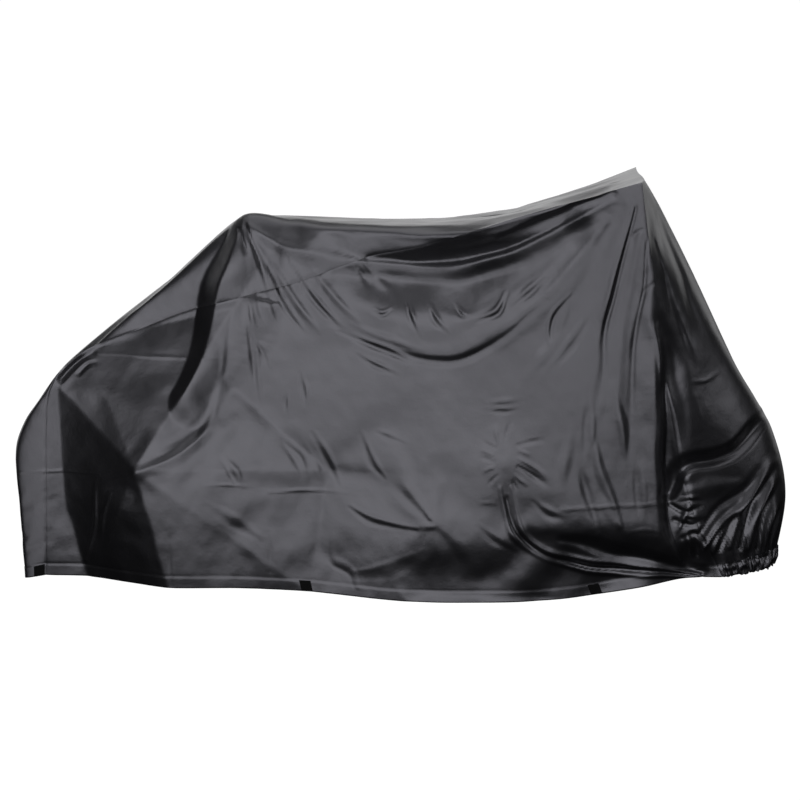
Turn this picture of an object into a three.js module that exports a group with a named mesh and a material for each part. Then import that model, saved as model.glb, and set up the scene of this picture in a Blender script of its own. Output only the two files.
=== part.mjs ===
// Bicycle cover in the shape in which it hangs: two side panels, one long centre panel that runs
// from the rear hem over the saddle and the handlebar to the front hem, and six flat webbing tabs.
// Millimetres, +Z up, +X to the front, -Y the near side. The origin is where the saddle carries the top.
import * as THREE from 'three';

// Sheet and sewing
const CLOTH = 1.5;
const SEAM_GAP = 0.3;
const HEM_BAND = 30;
const TAB_THICKNESS = 1.6;
const TAB_LIFT = 0.6;
const TAB_INSET = 0.15;

// The bars are turned a little: the near grip stands this much further back than the far one
const BAR_TURN = 32;

// Steps of a side panel, along it and up it
const SIDE_STEPS = 52;
const RISE_STEPS = 28;

// Lanes across half of the centre panel, from the spine (share 0) to the seam (share 1), and how far the
// elastic in the front hem pushes each lane out on the near and on the far side
const LANES = [
  { share: 0, near: -3, far: -3 },
  { share: 0.3, near: 5, far: 4 },
  { share: 0.56, near: -5, far: -4 },
  { share: 0.77, near: 5, far: 5 },
  { share: 0.91, near: -4, far: -5 },
  { share: 1, near: 0, far: 0 },
];
const GATHER_RISE = 260;

// Cuts through the centre panel, from the rear hem to the front hem. The seam is at (seamX, half, seamZ)
// on each side, the spine at (spineX, 0, spineZ), and crest is the power of the curve between them.
const CUTS = [
  { seamX: -456, half: 62, seamZ: -798, spineX: -506, spineZ: -808, crest: 7 },
  { seamX: -453, half: 63, seamZ: -627, spineX: -515, spineZ: -661, crest: 7 },
  { seamX: -451, half: 63, seamZ: -469, spineX: -522, spineZ: -512, crest: 7 },
  { seamX: -444, half: 63, seamZ: -390, spineX: -503, spineZ: -455, crest: 7 },
  { seamX: -424, half: 63, seamZ: -343, spineX: -471, spineZ: -406, crest: 6 },
  { seamX: -360, half: 64, seamZ: -288, spineX: -420, spineZ: -342, crest: 6 },
  { seamX: -236, half: 66, seamZ: -242, spineX: -311, spineZ: -245, crest: 7 },
  { seamX: -113, half: 76, seamZ: -196, spineX: -187, spineZ: -143, crest: 7 },
  { seamX: -35, half: 92, seamZ: -173, spineX: -62, spineZ: -33, crest: 6 },
  { seamX: 10, half: 100, seamZ: -160, spineX: -9, spineZ: 1, crest: 4.5 },
  { seamX: 120, half: 118, seamZ: -131, spineX: 110, spineZ: 2, crest: 4.5 },
  { seamX: 263, half: 150, seamZ: -78, spineX: 261, spineZ: -3, crest: 5 },
  { seamX: 374, half: 178, seamZ: -53, spineX: 375, spineZ: -4, crest: 5 },
  { seamX: 529, half: 216, seamZ: -1, spineX: 534, spineZ: 4, crest: 4 },
  { seamX: 685, half: 257, seamZ: 47, spineX: 696, spineZ: 40, crest: 3 },
  { seamX: 872, half: 300, seamZ: 97, spineX: 876, spineZ: 96, crest: 2 },
  { seamX: 884, half: 262, seamZ: -93, spineX: 977, spineZ: -90, crest: 2.6 },
  { seamX: 920, half: 225, seamZ: -336, spineX: 1092, spineZ: -319, crest: 2.4 },
  { seamX: 957, half: 196, seamZ: -538, spineX: 1177, spineZ: -478, crest: 2.4 },
  { seamX: 1000, half: 180, seamZ: -674, spineX: 1209, spineZ: -615, crest: 2.2 },
  { seamX: 1052, half: 165, seamZ: -785, spineX: 1185, spineZ: -794, crest: 2.2 },
];
const REAR_CORNER = 4;
const GRIP_CORNER = 15;

// Hem of a side panel, from the rear seam to the front seam
const HEM = [
  { x: -456, half: 62, z: -798 },
  { x: -356, half: 66, z: -800 },
  { x: -262, half: 112, z: -801 },
  { x: -170, half: 158, z: -801 },
  { x: -14, half: 165, z: -804 },
  { x: 119, half: 178, z: -811 },
  { x: 339, half: 198, z: -830 },
  { x: 515, half: 206, z: -834 },
  { x: 691, half: 206, z: -832 },
  { x: 779, half: 204, z: -824 },
  { x: 867, half: 198, z: -808 },
  { x: 979, half: 182, z: -790 },
  { x: 1052, half: 165, z: -785 },
];

// Middle and front tabs, by the place of their middle along the hem
const TAB_PLACES = [{ name: 'middle', x: 132 }, { name: 'front', x: 772 }];
const HEM_SHARE_STEP = 0.0005;

// Points that push the cloth out from inside: height over the sheet and reach of the tent around it
const NEAR_TENTS = [
  { x: -240, z: -545, height: 30, reach: 230 },
  { x: 415, z: -665, height: 24, reach: 260 },
  { x: 570, z: -525, height: 12, reach: 120 },
];
const FAR_TENTS = [
  { x: -190, z: -575, height: 28, reach: 220 },
  { x: 110, z: -560, height: 24, reach: 250 },
  { x: 980, z: -520, height: 10, reach: 150 },
];
const TENT_TIP = 0.08;
const HOLLOW = 1.6;

// Folds, a row each: a path in side view, height out of the sheet (a trough is below 0), the reach on the
// left and on the right of someone who walks along the path, the share of height kept at start and end, and
// how taut the flanks are: 0 is a soft round, 1 a crease with straight flanks
const NEAR_FOLDS = [
  // Saddle: the step below its rear corner, the hollow behind it, the band under the rim and one ray
  { path: [[-15, -10], [-40, -85], [-60, -150], [-70, -215], [-100, -305], [-150, -395]],
    height: 34, left: 130, right: 44, start: 0.5, end: 0.1, taut: 0.3 },
  { path: [[-35, -20], [-75, -100], [-105, -160], [-120, -240], [-160, -390]],
    height: -18, left: 36, right: 70, start: 0.3, end: 0.1, taut: 0.2 },
  { path: [[20, -10], [120, -30], [210, -45], [285, -60], [405, -65]],
    height: -15, left: 30, right: 44, start: 0.2, end: 0.3, taut: 0.2 },
  { path: [[210, -45], [340, -65], [425, -70], [515, -55], [655, 0]],
    height: -20, left: 44, right: 110, start: 0.2, end: 0.3, taut: 0.2 },
  { path: [[330, -250], [435, -285], [550, -225], [685, -115], [780, 10]],
    height: 5, left: 60, right: 40, start: 0.2, end: 0.5, taut: 0.2 },
  { path: [[20, -40], [65, -115], [115, -180], [170, -250]],
    height: 5, left: 34, right: 34, start: 0.5, end: 0.1, taut: 0.5 },
  // Rear wheel: the valley beside the seam and three ridges that meet at the tip
  { path: [[-420, -375], [-410, -490], [-400, -600], [-365, -790]],
    height: -14, left: 70, right: 34, start: 0.1, end: 1, taut: 0.3 },
  { path: [[-240, -545], [-330, -460], [-420, -375]],
    height: 30, left: 80, right: 200, start: 0.95, end: 0.1, taut: 0.5 },
  { path: [[-240, -545], [-165, -515], [-95, -465], [-55, -350]],
    height: 5, left: 40, right: 40, start: 1, end: 0.2, taut: 0.5 },
  { path: [[-240, -545], [-210, -640], [-185, -730], [-170, -805]],
    height: 34, left: 170, right: 110, start: 0.75, end: 0.9, taut: 0.5 },
  // Bars and front edge
  { path: [[830, 50], [800, -75], [780, -180], [765, -290]],
    height: 5, left: 36, right: 55, start: 0.6, end: 0, taut: 0.5 },
  { path: [[865, -5], [880, -180], [895, -380], [900, -605], [915, -730]],
    height: 4, left: 30, right: 60, start: 0.2, end: 0.5, taut: 0.5 },
  { path: [[890, -130], [910, -225], [920, -340], [925, -605], [970, -740]],
    height: -24, left: 58, right: 30, start: 0.1, end: 0.6, taut: 0.3 },
  // Front panel
  { path: [[895, -225], [925, -355], [960, -555]],
    height: 12, left: 30, right: 30, start: 0.2, end: 0.4, taut: 0.5 },
  { path: [[890, -95], [930, -170], [1010, -285]],
    height: -10, left: 36, right: 44, start: 0.3, end: 0.2, taut: 0.2 },
  { path: [[940, -585], [975, -520], [1090, -500], [1150, -445]],
    height: -20, left: 44, right: 34, start: 0.7, end: 0.5, taut: 0.3 },
  { path: [[965, -580], [1020, -570], [1080, -570]],
    height: 12, left: 34, right: 34, start: 0.5, end: 0.5, taut: 0.2 },
  // Pedal
  { path: [[415, -660], [415, -540], [410, -320]],
    height: 3, left: 60, right: 60, start: 0.9, end: 0, taut: 0.5 },
  { path: [[420, -670], [460, -725], [480, -780]],
    height: -5, left: 34, right: 36, start: 0.5, end: 0.3, taut: 0.5 },
  { path: [[405, -670], [375, -725], [330, -775]],
    height: -5, left: 36, right: 34, start: 0.5, end: 0.3, taut: 0.5 },
  // Edge of the front wheel
  { path: [[560, -575], [580, -670], [675, -740], [870, -780], [1005, -785]],
    height: 6, left: 34, right: 34, start: 0.5, end: 0.5, taut: 0.2 },
  { path: [[605, -720], [745, -735], [875, -745], [980, -775]],
    height: -14, left: 120, right: 30, start: 0.2, end: 0.4, taut: 0.2 },
  { path: [[695, -695], [795, -725], [1010, -775]],
    height: -10, left: 34, right: 30, start: 0.3, end: 0.6, taut: 0.2 },
];
const FAR_FOLDS = [
  // Saddle
  { path: [[-5, -20], [-55, -120], [-70, -210], [-120, -370]],
    height: 28, left: 120, right: 44, start: 0.5, end: 0.1, taut: 0.3 },
  { path: [[-35, -30], [-85, -130], [-105, -220], [-145, -360]],
    height: -14, left: 36, right: 70, start: 0.3, end: 0.1, taut: 0.2 },
  { path: [[30, -15], [190, -45], [350, -62], [520, -45], [640, 0]],
    height: -20, left: 40, right: 90, start: 0.2, end: 0.3, taut: 0.2 },
  { path: [[230, -210], [390, -290], [500, -280], [660, -130], [790, 20]],
    height: 5, left: 50, right: 40, start: 0.2, end: 0.5, taut: 0.2 },
  { path: [[30, -20], [90, -160], [150, -280]],
    height: 5, left: 34, right: 34, start: 0.5, end: 0.1, taut: 0.5 },
  // Rear wheel
  { path: [[-420, -375], [-395, -590], [-355, -795]],
    height: -14, left: 70, right: 34, start: 0.1, end: 1, taut: 0.3 },
  { path: [[-190, -575], [-290, -470], [-405, -380]],
    height: 24, left: 80, right: 180, start: 0.9, end: 0.1, taut: 0.5 },
  { path: [[-190, -575], [-165, -680], [-150, -800]],
    height: 28, left: 150, right: 110, start: 0.7, end: 0.8, taut: 0.5 },
  // Bars, front edge and front panel
  { path: [[830, 50], [800, -90], [760, -280], [740, -450]],
    height: 5, left: 36, right: 50, start: 0.6, end: 0.1, taut: 0.5 },
  { path: [[890, -150], [915, -340], [920, -560], [945, -690]],
    height: -20, left: 54, right: 30, start: 0.2, end: 0.5, taut: 0.3 },
  { path: [[960, -600], [1040, -540], [1150, -440]],
    height: -16, left: 40, right: 34, start: 0.6, end: 0.4, taut: 0.3 },
  // Pedal and edge of the front wheel
  { path: [[110, -560], [130, -430], [120, -320]],
    height: 4, left: 50, right: 50, start: 0.9, end: 0, taut: 0.5 },
  { path: [[110, -560], [230, -600], [330, -690]],
    height: 5, left: 40, right: 44, start: 0.9, end: 0, taut: 0.5 },
  { path: [[110, -560], [60, -660], [40, -770]],
    height: -5, left: 40, right: 40, start: 0.5, end: 0.2, taut: 0.5 },
  { path: [[470, -520], [620, -660], [800, -740], [1000, -770]],
    height: 6, left: 34, right: 40, start: 0.2, end: 0.6, taut: 0.2 },
  { path: [[620, -725], [760, -742], [890, -752], [990, -776]],
    height: -12, left: 110, right: 30, start: 0.2, end: 0.4, taut: 0.2 },
];

const NEAR = { name: 'near', sign: -1, tents: NEAR_TENTS, folds: NEAR_FOLDS, turn: -BAR_TURN / 2 };
const FAR = { name: 'far', sign: 1, tents: FAR_TENTS, folds: FAR_FOLDS, turn: BAR_TURN / 2 };

const BLACK_TAFFETA = { color: 0x26262a, roughness: 0.45, metalness: 0 };
const BLACK_WEBBING = { color: 0x17171a, roughness: 0.85, metalness: 0 };

const smooth = (t) => THREE.MathUtils.smoothstep(t, 0, 1);

// Height of one fold over the point (x, z), across the nearest stretch of its path
function foldHeight(fold, x, z) {
  const stretches = fold.path.length - 1;
  let nearest = Infinity;
  let side = 0;
  let along = 0;
  for (let k = 0; k < stretches; k++) {
    const [ax, az] = fold.path[k];
    const [bx, bz] = fold.path[k + 1];
    const dx = bx - ax;
    const dz = bz - az;
    const t = THREE.MathUtils.clamp(((x - ax) * dx + (z - az) * dz) / (dx * dx + dz * dz), 0, 1);
    const distance = Math.hypot(x - ax - t * dx, z - az - t * dz);
    if (distance < nearest) {
      nearest = distance;
      side = (dx * (z - az) - dz * (x - ax)) / Math.hypot(dx, dz);
      along = (k + t) / stretches;
    }
  }
  const leftShare = nearest > 0 ? 0.5 + 0.5 * side / nearest : 0.5;
  const off = Math.min(nearest / THREE.MathUtils.lerp(fold.right, fold.left, leftShare), 1);
  const fade = along < 0.5
    ? THREE.MathUtils.lerp(fold.start, 1, smooth(along * 2))
    : THREE.MathUtils.lerp(1, fold.end, smooth(along * 2 - 1));
  const soft = (1 - off * off) ** 2;
  const drawn = (1 - off) ** HOLLOW;
  return fold.height * fade * THREE.MathUtils.lerp(soft, drawn, fold.taut);
}

// A tent has a rounded tip and hollow flanks
function tentHeight(tent, x, z) {
  const share = 1 - Math.hypot(x - tent.x, z - tent.z, tent.reach * TENT_TIP) / tent.reach;
  return share > 0 ? tent.height * share ** HOLLOW : 0;
}

function reliefAt(side, x, z) {
  const tents = side.tents.reduce((sum, tent) => sum + tentHeight(tent, x, z), 0);
  return side.folds.reduce((sum, fold) => sum + foldHeight(fold, x, z), tents);
}

// The seam of one side in three runs: up the rear, along the top to the grip, and down the front
function seamRun(side, first, last) {
  const rows = CUTS.slice(first, last + 1);
  const grip = (row) => (CUTS.indexOf(row) === GRIP_CORNER ? side.turn : 0);
  const seam = rows.map((row) => new THREE.Vector3(row.seamX + grip(row), side.sign * row.half, row.seamZ));
  const spine = rows.map((row) => new THREE.Vector3(row.spineX, 0, row.spineZ));
  return {
    rows,
    seam: new THREE.CatmullRomCurve3(seam),
    spine: new THREE.CatmullRomCurve3(spine),
  };
}

function sideRuns(side) {
  return {
    rear: seamRun(side, 0, REAR_CORNER),
    top: seamRun(side, REAR_CORNER, GRIP_CORNER),
    front: seamRun(side, GRIP_CORNER, CUTS.length - 1),
    hem: new THREE.CatmullRomCurve3(HEM.map((row) => new THREE.Vector3(row.x, side.sign * row.half, row.z))),
  };
}

// Share of the hem at which it passes x, closed in on from both sides
function hemShare(hem, x) {
  let low = 0;
  let high = 1;
  while (high - low > HEM_SHARE_STEP) {
    const middle = (low + high) / 2;
    if (hem.getPointAt(middle).x < x) low = middle;
    else high = middle;
  }
  return low;
}

const tabColumn = (share) => Math.round(share * SIDE_STEPS - 0.5);

// Shares of the hem at which the columns stand, so that each tab falls on the middle of one column
function columnShares(hem) {
  const tabShares = TAB_PLACES.map((place) => hemShare(hem, place.x));
  const marks = [[0, 0], ...tabShares.map((share) => [tabColumn(share) + 0.5, share]), [SIDE_STEPS, 1]];
  return Array.from({ length: SIDE_STEPS + 1 }, (_, column) => {
    const next = marks.findIndex(([at]) => at >= column && at > 0);
    const [a, shareA] = marks[next - 1];
    const [b, shareB] = marks[next];
    return THREE.MathUtils.mapLinear(column, a, b, shareA, shareB);
  });
}

// Shares of a rise at which the rows stand: the first row is the hem band, the others are even
function rowShares(length) {
  const band = HEM_BAND / length;
  return Array.from({ length: RISE_STEPS + 1 }, (_, row) => (
    row === 0 ? 0 : band + (1 - band) * (row - 1) / (RISE_STEPS - 1)
  ));
}

// Side panel: a sheet stretched between hem, rear seam, top seam and front seam, pushed out by its relief
function sidePoints(side, runs) {
  const columns = columnShares(runs.hem);
  const rearRows = rowShares(runs.rear.seam.getLength());
  const frontRows = rowShares(runs.front.seam.getLength());
  const hemRear = runs.hem.getPointAt(0);
  const hemFront = runs.hem.getPointAt(1);
  const corner = runs.top.seam.getPointAt(0);
  const grip = runs.top.seam.getPointAt(1);
  return Array.from({ length: RISE_STEPS + 1 }, (_, row) => columns.map((u) => {
    const v = THREE.MathUtils.lerp(rearRows[row], frontRows[row], u);
    const rear = runs.rear.seam.getPointAt(rearRows[row]);
    const front = runs.front.seam.getPointAt(1 - frontRows[row]);
    const hem = runs.hem.getPointAt(u);
    const top = runs.top.seam.getPointAt(u);
    const point = hem.multiplyScalar(1 - v).addScaledVector(top, v);
    point.addScaledVector(rear, 1 - u).addScaledVector(front, u);
    point.addScaledVector(hemRear, -(1 - u) * (1 - v)).addScaledVector(hemFront, -u * (1 - v));
    point.addScaledVector(corner, -(1 - u) * v).addScaledVector(grip, -u * v);
    point.y += side.sign * reliefAt(side, point.x, point.z);
    return point;
  }));
}

// One stop along the centre panel: its seam point, its spine point and the power of its curve
function stopAt(run, share) {
  const t = run.seam.getUtoTmapping(share);
  const place = t * (run.rows.length - 1);
  const row = Math.min(Math.floor(place), run.rows.length - 2);
  return {
    seam: run.seam.getPoint(t),
    spine: run.spine.getPoint(t),
    crest: THREE.MathUtils.lerp(run.rows[row].crest, run.rows[row + 1].crest, place - row),
  };
}

function stopsOf(runs) {
  const rearRows = rowShares(runs.rear.seam.getLength());
  const frontRows = rowShares(runs.front.seam.getLength());
  const rear = rearRows.map((share) => stopAt(runs.rear, share));
  const top = columnShares(runs.hem).slice(1).map((share) => stopAt(runs.top, share));
  const front = frontRows.slice(0, -1).reverse().map((share) => stopAt(runs.front, 1 - share));
  return [...rear, ...top, ...front];
}

// Point of half of the centre panel: lane 0 is the spine, lane 1 the seam
function lanePoint(stop, share) {
  const drop = share ** stop.crest;
  return new THREE.Vector3(
    THREE.MathUtils.lerp(stop.spine.x, stop.seam.x, drop),
    stop.seam.y * share,
    THREE.MathUtils.lerp(stop.spine.z, stop.seam.z, drop),
  );
}

// Share of the gathers' height at a stop: whole at the front hem, none at their upper end
function gatherAt(stop) {
  if (stop.spine.x <= CUTS[GRIP_CORNER].spineX) return 0;
  const rise = (stop.seam.z - CUTS[CUTS.length - 1].seamZ) / GATHER_RISE;
  return Math.max(1 - rise, 0) ** 2;
}

// Half of the centre panel, from the spine out to the seam of one side. Relief goes along the sheet's
// normal near the spine and straight out at the seam, where the side panel has the same points.
function halfCentre(side, stops) {
  const base = stops.map((stop) => LANES.map((lane) => lanePoint(stop, lane.share)));
  const normals = gridNormals(base, -side.sign);
  return base.map((cut, k) => cut.map((point, c) => {
    const share = smooth(LANES[c].share);
    const out = normals[k][c].clone().multiplyScalar(1 - share ** 3);
    out.y += side.sign * share ** 3;
    const height = share * reliefAt(side, point.x, point.z) + gatherAt(stops[k]) * LANES[c][side.name];
    return point.clone().addScaledVector(out, height);
  }));
}

// Normals of a grid of points; turn is -1 where the grid's own order gives the inner side
function gridNormals(grid, turn) {
  const last = grid.length - 1;
  return grid.map((line, r) => line.map((_, c) => {
    const up = grid[Math.min(r + 1, last)][c].clone().sub(grid[Math.max(r - 1, 0)][c]);
    const on = line[Math.min(c + 1, line.length - 1)].clone().sub(line[Math.max(c - 1, 0)]);
    return on.cross(up).multiplyScalar(turn).normalize();
  }));
}

// Closed sheet: outer grid, inner grid one cloth behind it, and a rim around the edge
function closedSheet(outer, inner, turn) {
  const rows = outer.length;
  const columns = outer[0].length;
  const points = [...outer.flat(), ...inner.flat()];
  const behind = rows * columns;
  const faces = [];
  const quad = (a, b, c, d) => (turn > 0 ? faces.push(a, b, c, a, c, d) : faces.push(a, c, b, a, d, c));
  const at = (r, c) => r * columns + c;
  for (let r = 0; r < rows - 1; r++) {
    for (let c = 0; c < columns - 1; c++) {
      quad(at(r, c), at(r, c + 1), at(r + 1, c + 1), at(r + 1, c));
      quad(behind + at(r, c), behind + at(r + 1, c), behind + at(r + 1, c + 1), behind + at(r, c + 1));
    }
  }
  const ring = [];
  for (let c = 0; c < columns - 1; c++) ring.push(at(0, c));
  for (let r = 0; r < rows - 1; r++) ring.push(at(r, columns - 1));
  for (let c = columns - 1; c > 0; c--) ring.push(at(rows - 1, c));
  for (let r = rows - 1; r > 0; r--) ring.push(at(r, 0));
  ring.forEach((a, k) => {
    const b = ring[(k + 1) % ring.length];
    quad(a, a + behind, b + behind, b);
  });
  const geometry = new THREE.BufferGeometry();
  geometry.setAttribute('position', new THREE.Float32BufferAttribute(points.flatMap((p) => p.toArray()), 3));
  geometry.setIndex(faces);
  geometry.computeVertexNormals();
  return geometry;
}

function backOf(grid, normals, depth) {
  return grid.map((line, r) => line.map((point, c) => point.clone().addScaledVector(normals[r][c], -depth)));
}

// Part two sheets along their shared seam: both edges take one normal, evened out along the seam, and step
// back from each other by half of the gap
function openSeam(sidePanel, centre, pairs) {
  const shared = pairs.map(({ edge: [r, c], stop, lane }) => (
    sidePanel.normals[r][c].clone().add(centre.normals[stop][lane]).normalize()
  ));
  pairs.forEach(({ edge: [r, c], inward, stop, lane, laneInward }, k) => {
    const normal = shared[k].clone().multiplyScalar(2);
    normal.add(shared[Math.max(k - 1, 0)]).add(shared[Math.min(k + 1, pairs.length - 1)]).normalize();
    const before = pairs[Math.max(k - 1, 0)].edge;
    const after = pairs[Math.min(k + 1, pairs.length - 1)].edge;
    const along = sidePanel.points[after[0]][after[1]].clone().sub(sidePanel.points[before[0]][before[1]]);
    along.addScaledVector(normal, -along.dot(normal)).normalize();
    const across = sidePanel.points[inward[0]][inward[1]].clone().sub(centre.points[stop][laneInward]);
    across.addScaledVector(normal, -across.dot(normal));
    across.addScaledVector(along, -across.dot(along)).normalize();
    sidePanel.normals[r][c].copy(normal);
    centre.normals[stop][lane].copy(normal);
    sidePanel.shifts.push([sidePanel.points[r][c], across.clone().multiplyScalar(SEAM_GAP / 2)]);
    centre.shifts.push([centre.points[stop][lane], across.clone().multiplyScalar(-SEAM_GAP / 2)]);
  });
}

// Pairs of points along the seam: rear edge, top edge and front edge of the side panel
function seamPairs(lane, laneInward) {
  const pairs = [];
  for (let r = 0; r <= RISE_STEPS; r++) {
    pairs.push({ edge: [r, 0], inward: [Math.min(r, RISE_STEPS - 1), 1] });
  }
  for (let c = 1; c <= SIDE_STEPS; c++) {
    pairs.push({ edge: [RISE_STEPS, c], inward: [RISE_STEPS - 1, Math.min(c, SIDE_STEPS - 1)] });
  }
  for (let r = RISE_STEPS - 1; r >= 0; r--) {
    pairs.push({ edge: [r, SIDE_STEPS], inward: [r, SIDE_STEPS - 1] });
  }
  return pairs.map((pair, stop) => ({ ...pair, stop, lane, laneInward }));
}

function namedMesh(name, geometry, finish) {
  const mesh = new THREE.Mesh(geometry, new THREE.MeshStandardMaterial(finish));
  mesh.name = name;
  return mesh;
}

function clothMesh(name, sheet, turn) {
  const inner = backOf(sheet.points, sheet.normals, CLOTH);
  return namedMesh(name, closedSheet(sheet.points, inner, turn), BLACK_TAFFETA);
}

// Webbing tab: the middle of one cell of a sheet, lifted off it, so that it lies flat on the hem
function tabMesh(name, sheet, row, column, turn) {
  const cell = (a, b) => {
    const low = sheet.points[row][column].clone().lerp(sheet.points[row][column + 1], a);
    const high = sheet.points[row + 1][column].clone().lerp(sheet.points[row + 1][column + 1], a);
    return low.lerp(high, b);
  };
  const corner = (r, c) => cell(c ? 1 - TAB_INSET : TAB_INSET, r ? 1 - TAB_INSET : TAB_INSET);
  const seat = [0, 1].map((r) => [0, 1].map((c) => corner(r, c)));
  const normals = gridNormals(seat, turn);
  const under = backOf(seat, normals, -TAB_LIFT);
  const outer = backOf(under, normals, -TAB_THICKNESS);
  return namedMesh(name, closedSheet(outer, under, turn), BLACK_WEBBING);
}

const runs = { near: sideRuns(NEAR), far: sideRuns(FAR) };
const halves = {
  near: halfCentre(NEAR, stopsOf(runs.near)),
  far: halfCentre(FAR, stopsOf(runs.far)),
};
const centrePoints = halves.near.map((cut, k) => [
  ...cut.slice(1).reverse(),
  cut[0].clone().lerp(halves.far[k][0], 0.5),
  ...halves.far[k].slice(1),
]);
const centre = { points: centrePoints, normals: gridNormals(centrePoints, -1), shifts: [] };
const lastLane = centrePoints[0].length - 1;

const panels = [NEAR, FAR].map((side) => {
  const points = sidePoints(side, runs[side.name]);
  return { side, points, normals: gridNormals(points, -side.sign), shifts: [] };
});
openSeam(panels[0], centre, seamPairs(0, 1));
openSeam(panels[1], centre, seamPairs(lastLane, lastLane - 1));
for (const sheet of [...panels, centre]) sheet.shifts.forEach(([point, shift]) => point.add(shift));

const cover = new THREE.Group();
cover.add(clothMesh('centre_panel', centre, -1));
for (const panel of panels) {
  const turn = -panel.side.sign;
  cover.add(clothMesh(`side_panel_${panel.side.name}`, panel, turn));
  for (const place of TAB_PLACES) {
    const column = tabColumn(hemShare(runs[panel.side.name].hem, place.x));
    cover.add(tabMesh(`tab_${place.name}_${panel.side.name}`, panel, 0, column, turn));
  }
}
cover.add(tabMesh('tab_rear_near', centre, 0, 0, -1));
cover.add(tabMesh('tab_rear_far', centre, 0, lastLane - 1, -1));

export default cover;
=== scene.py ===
# %% [markdown]
# A bicycle cover in black coated taffeta, in the shape in which it hangs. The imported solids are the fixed
# frame: three rigid sheets and six tabs. Here each sheet becomes cloth, with the same cut and the same main
# folds, but fine enough for creases, puckers along the seams and the gathers of the elastic.

# %% Load the frame and keep its box
import bpy
import bmesh
import math
import numpy as np
from mathutils import Matrix, Vector
from mathutils.kdtree import KDTree


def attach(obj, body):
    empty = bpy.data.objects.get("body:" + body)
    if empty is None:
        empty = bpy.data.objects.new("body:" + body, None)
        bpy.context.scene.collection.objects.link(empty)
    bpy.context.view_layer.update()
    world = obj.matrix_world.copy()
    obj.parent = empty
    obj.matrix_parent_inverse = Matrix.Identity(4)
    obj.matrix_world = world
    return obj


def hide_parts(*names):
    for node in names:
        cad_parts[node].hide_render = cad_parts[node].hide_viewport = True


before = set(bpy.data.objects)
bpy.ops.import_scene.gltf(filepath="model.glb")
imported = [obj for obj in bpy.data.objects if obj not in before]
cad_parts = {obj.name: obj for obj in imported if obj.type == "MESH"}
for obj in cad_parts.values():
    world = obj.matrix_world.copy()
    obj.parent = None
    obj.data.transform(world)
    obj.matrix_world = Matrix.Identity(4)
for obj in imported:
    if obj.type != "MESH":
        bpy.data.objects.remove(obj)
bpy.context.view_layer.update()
MM = 0.001
print("solids:", sorted(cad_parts))

# %% [markdown]
# The cut of the cover. A centre panel runs from the rear hem over the saddle and the bars to the front hem,
# and a side panel closes each side. A row of CUTS is one cut across the centre panel: where its seam lies on
# each side, where its spine lies, and how round the curve between them is. The same rows made the solids, so
# the cloth lies on them. Lengths are in millimetres here, because a maker would measure a cover so.

# %% Rows of the cut, in millimetres
CUTS = np.array([
    # seam x, half width, seam z, spine x, spine z, near crest, far crest, drop of the far seam
    (-456, 62, -798, -506, -808, 9, 7, 0),
    (-453, 63, -627, -515, -661, 9, 7, 0),
    (-451, 63, -469, -522, -512, 9, 7, 0),
    (-444, 63, -390, -503, -455, 8, 7, 0),
    (-424, 63, -343, -471, -406, 7, 6, 0),
    (-360, 64, -288, -420, -342, 6, 6, 0),
    (-236, 66, -242, -311, -245, 7, 7, 0),
    (-113, 76, -196, -187, -143, 7, 7, 0),
    (-35, 92, -173, -62, -33, 6, 6, 0),
    (10, 100, -160, -9, 1, 5, 4.5, 0),
    (120, 118, -131, 110, 2, 7, 4.5, 0),
    (263, 150, -78, 261, -3, 10, 5, 0),
    (374, 178, -53, 375, -4, 10, 5, 2),
    (529, 216, -1, 534, 4, 8, 4, 16),
    (685, 257, 47, 696, 40, 6, 3, 24),
    (872, 300, 97, 876, 96, 2, 2, 0),
    (884, 262, -93, 977, -90, 2.6, 2.6, 0),
    (920, 225, -336, 1092, -319, 2.4, 2.4, 0),
    (957, 196, -538, 1177, -478, 2.4, 2.4, 0),
    (1000, 180, -674, 1209, -615, 2.2, 2.2, 0),
    (1052, 165, -785, 1185, -778, 2.2, 2.2, 0),
])
REAR_CORNER, GRIP_CORNER = 4, 15  # rows of CUTS
BAR_TURN = 32  # how much further forward the far grip is
HEM = np.array([
    # x, half width, z
    (-456, 62, -798), (-356, 66, -800), (-262, 112, -801), (-170, 158, -801), (-14, 165, -804),
    (119, 178, -811), (339, 198, -830), (515, 206, -834), (691, 206, -832), (779, 204, -824),
    (867, 198, -808), (979, 182, -790), (1052, 165, -785),
])
print("cuts:", len(CUTS), "hem rows:", len(HEM))

# %% [markdown]
# Curves through the rows. A Catmull-Rom spline passes through every row, and the centripetal kind makes no
# loops where rows lie close together, so it suits a measured table. Blender has no such curve for
# arrays, so a few lines of numpy do it, and the same lines give the share of length walked along it.


# %% Curves through the rows
LENGTH_STEPS = 1500


def spline(points, t):
    """Points of the centripetal Catmull-Rom curve at t from 0 to 1, counted in rows."""
    points = np.asarray(points, float)
    ends = np.vstack([2 * points[0] - points[1], points, 2 * points[-1] - points[-2]])
    place = np.clip(np.asarray(t, float), 0, 1) * (len(points) - 1)
    row = np.minimum(place.astype(int), len(points) - 2)
    w = (place - row)[:, None]
    p0, p1, p2, p3 = (ends[row + k] for k in range(4))
    d0, d1, d2 = (np.maximum(np.linalg.norm(b - a, axis=1), 1e-9)[:, None] ** 0.5
                  for a, b in ((p0, p1), (p1, p2), (p2, p3)))
    m1 = ((p1 - p0) / d0 - (p2 - p0) / (d0 + d1) + (p2 - p1) / d1) * d1
    m2 = ((p2 - p1) / d1 - (p3 - p1) / (d1 + d2) + (p3 - p2) / d2) * d1
    return ((2 * w**3 - 3 * w**2 + 1) * p1 + (w**3 - 2 * w**2 + w) * m1
            + (3 * w**2 - 2 * w**3) * p2 + (w**3 - w**2) * m2)


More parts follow.
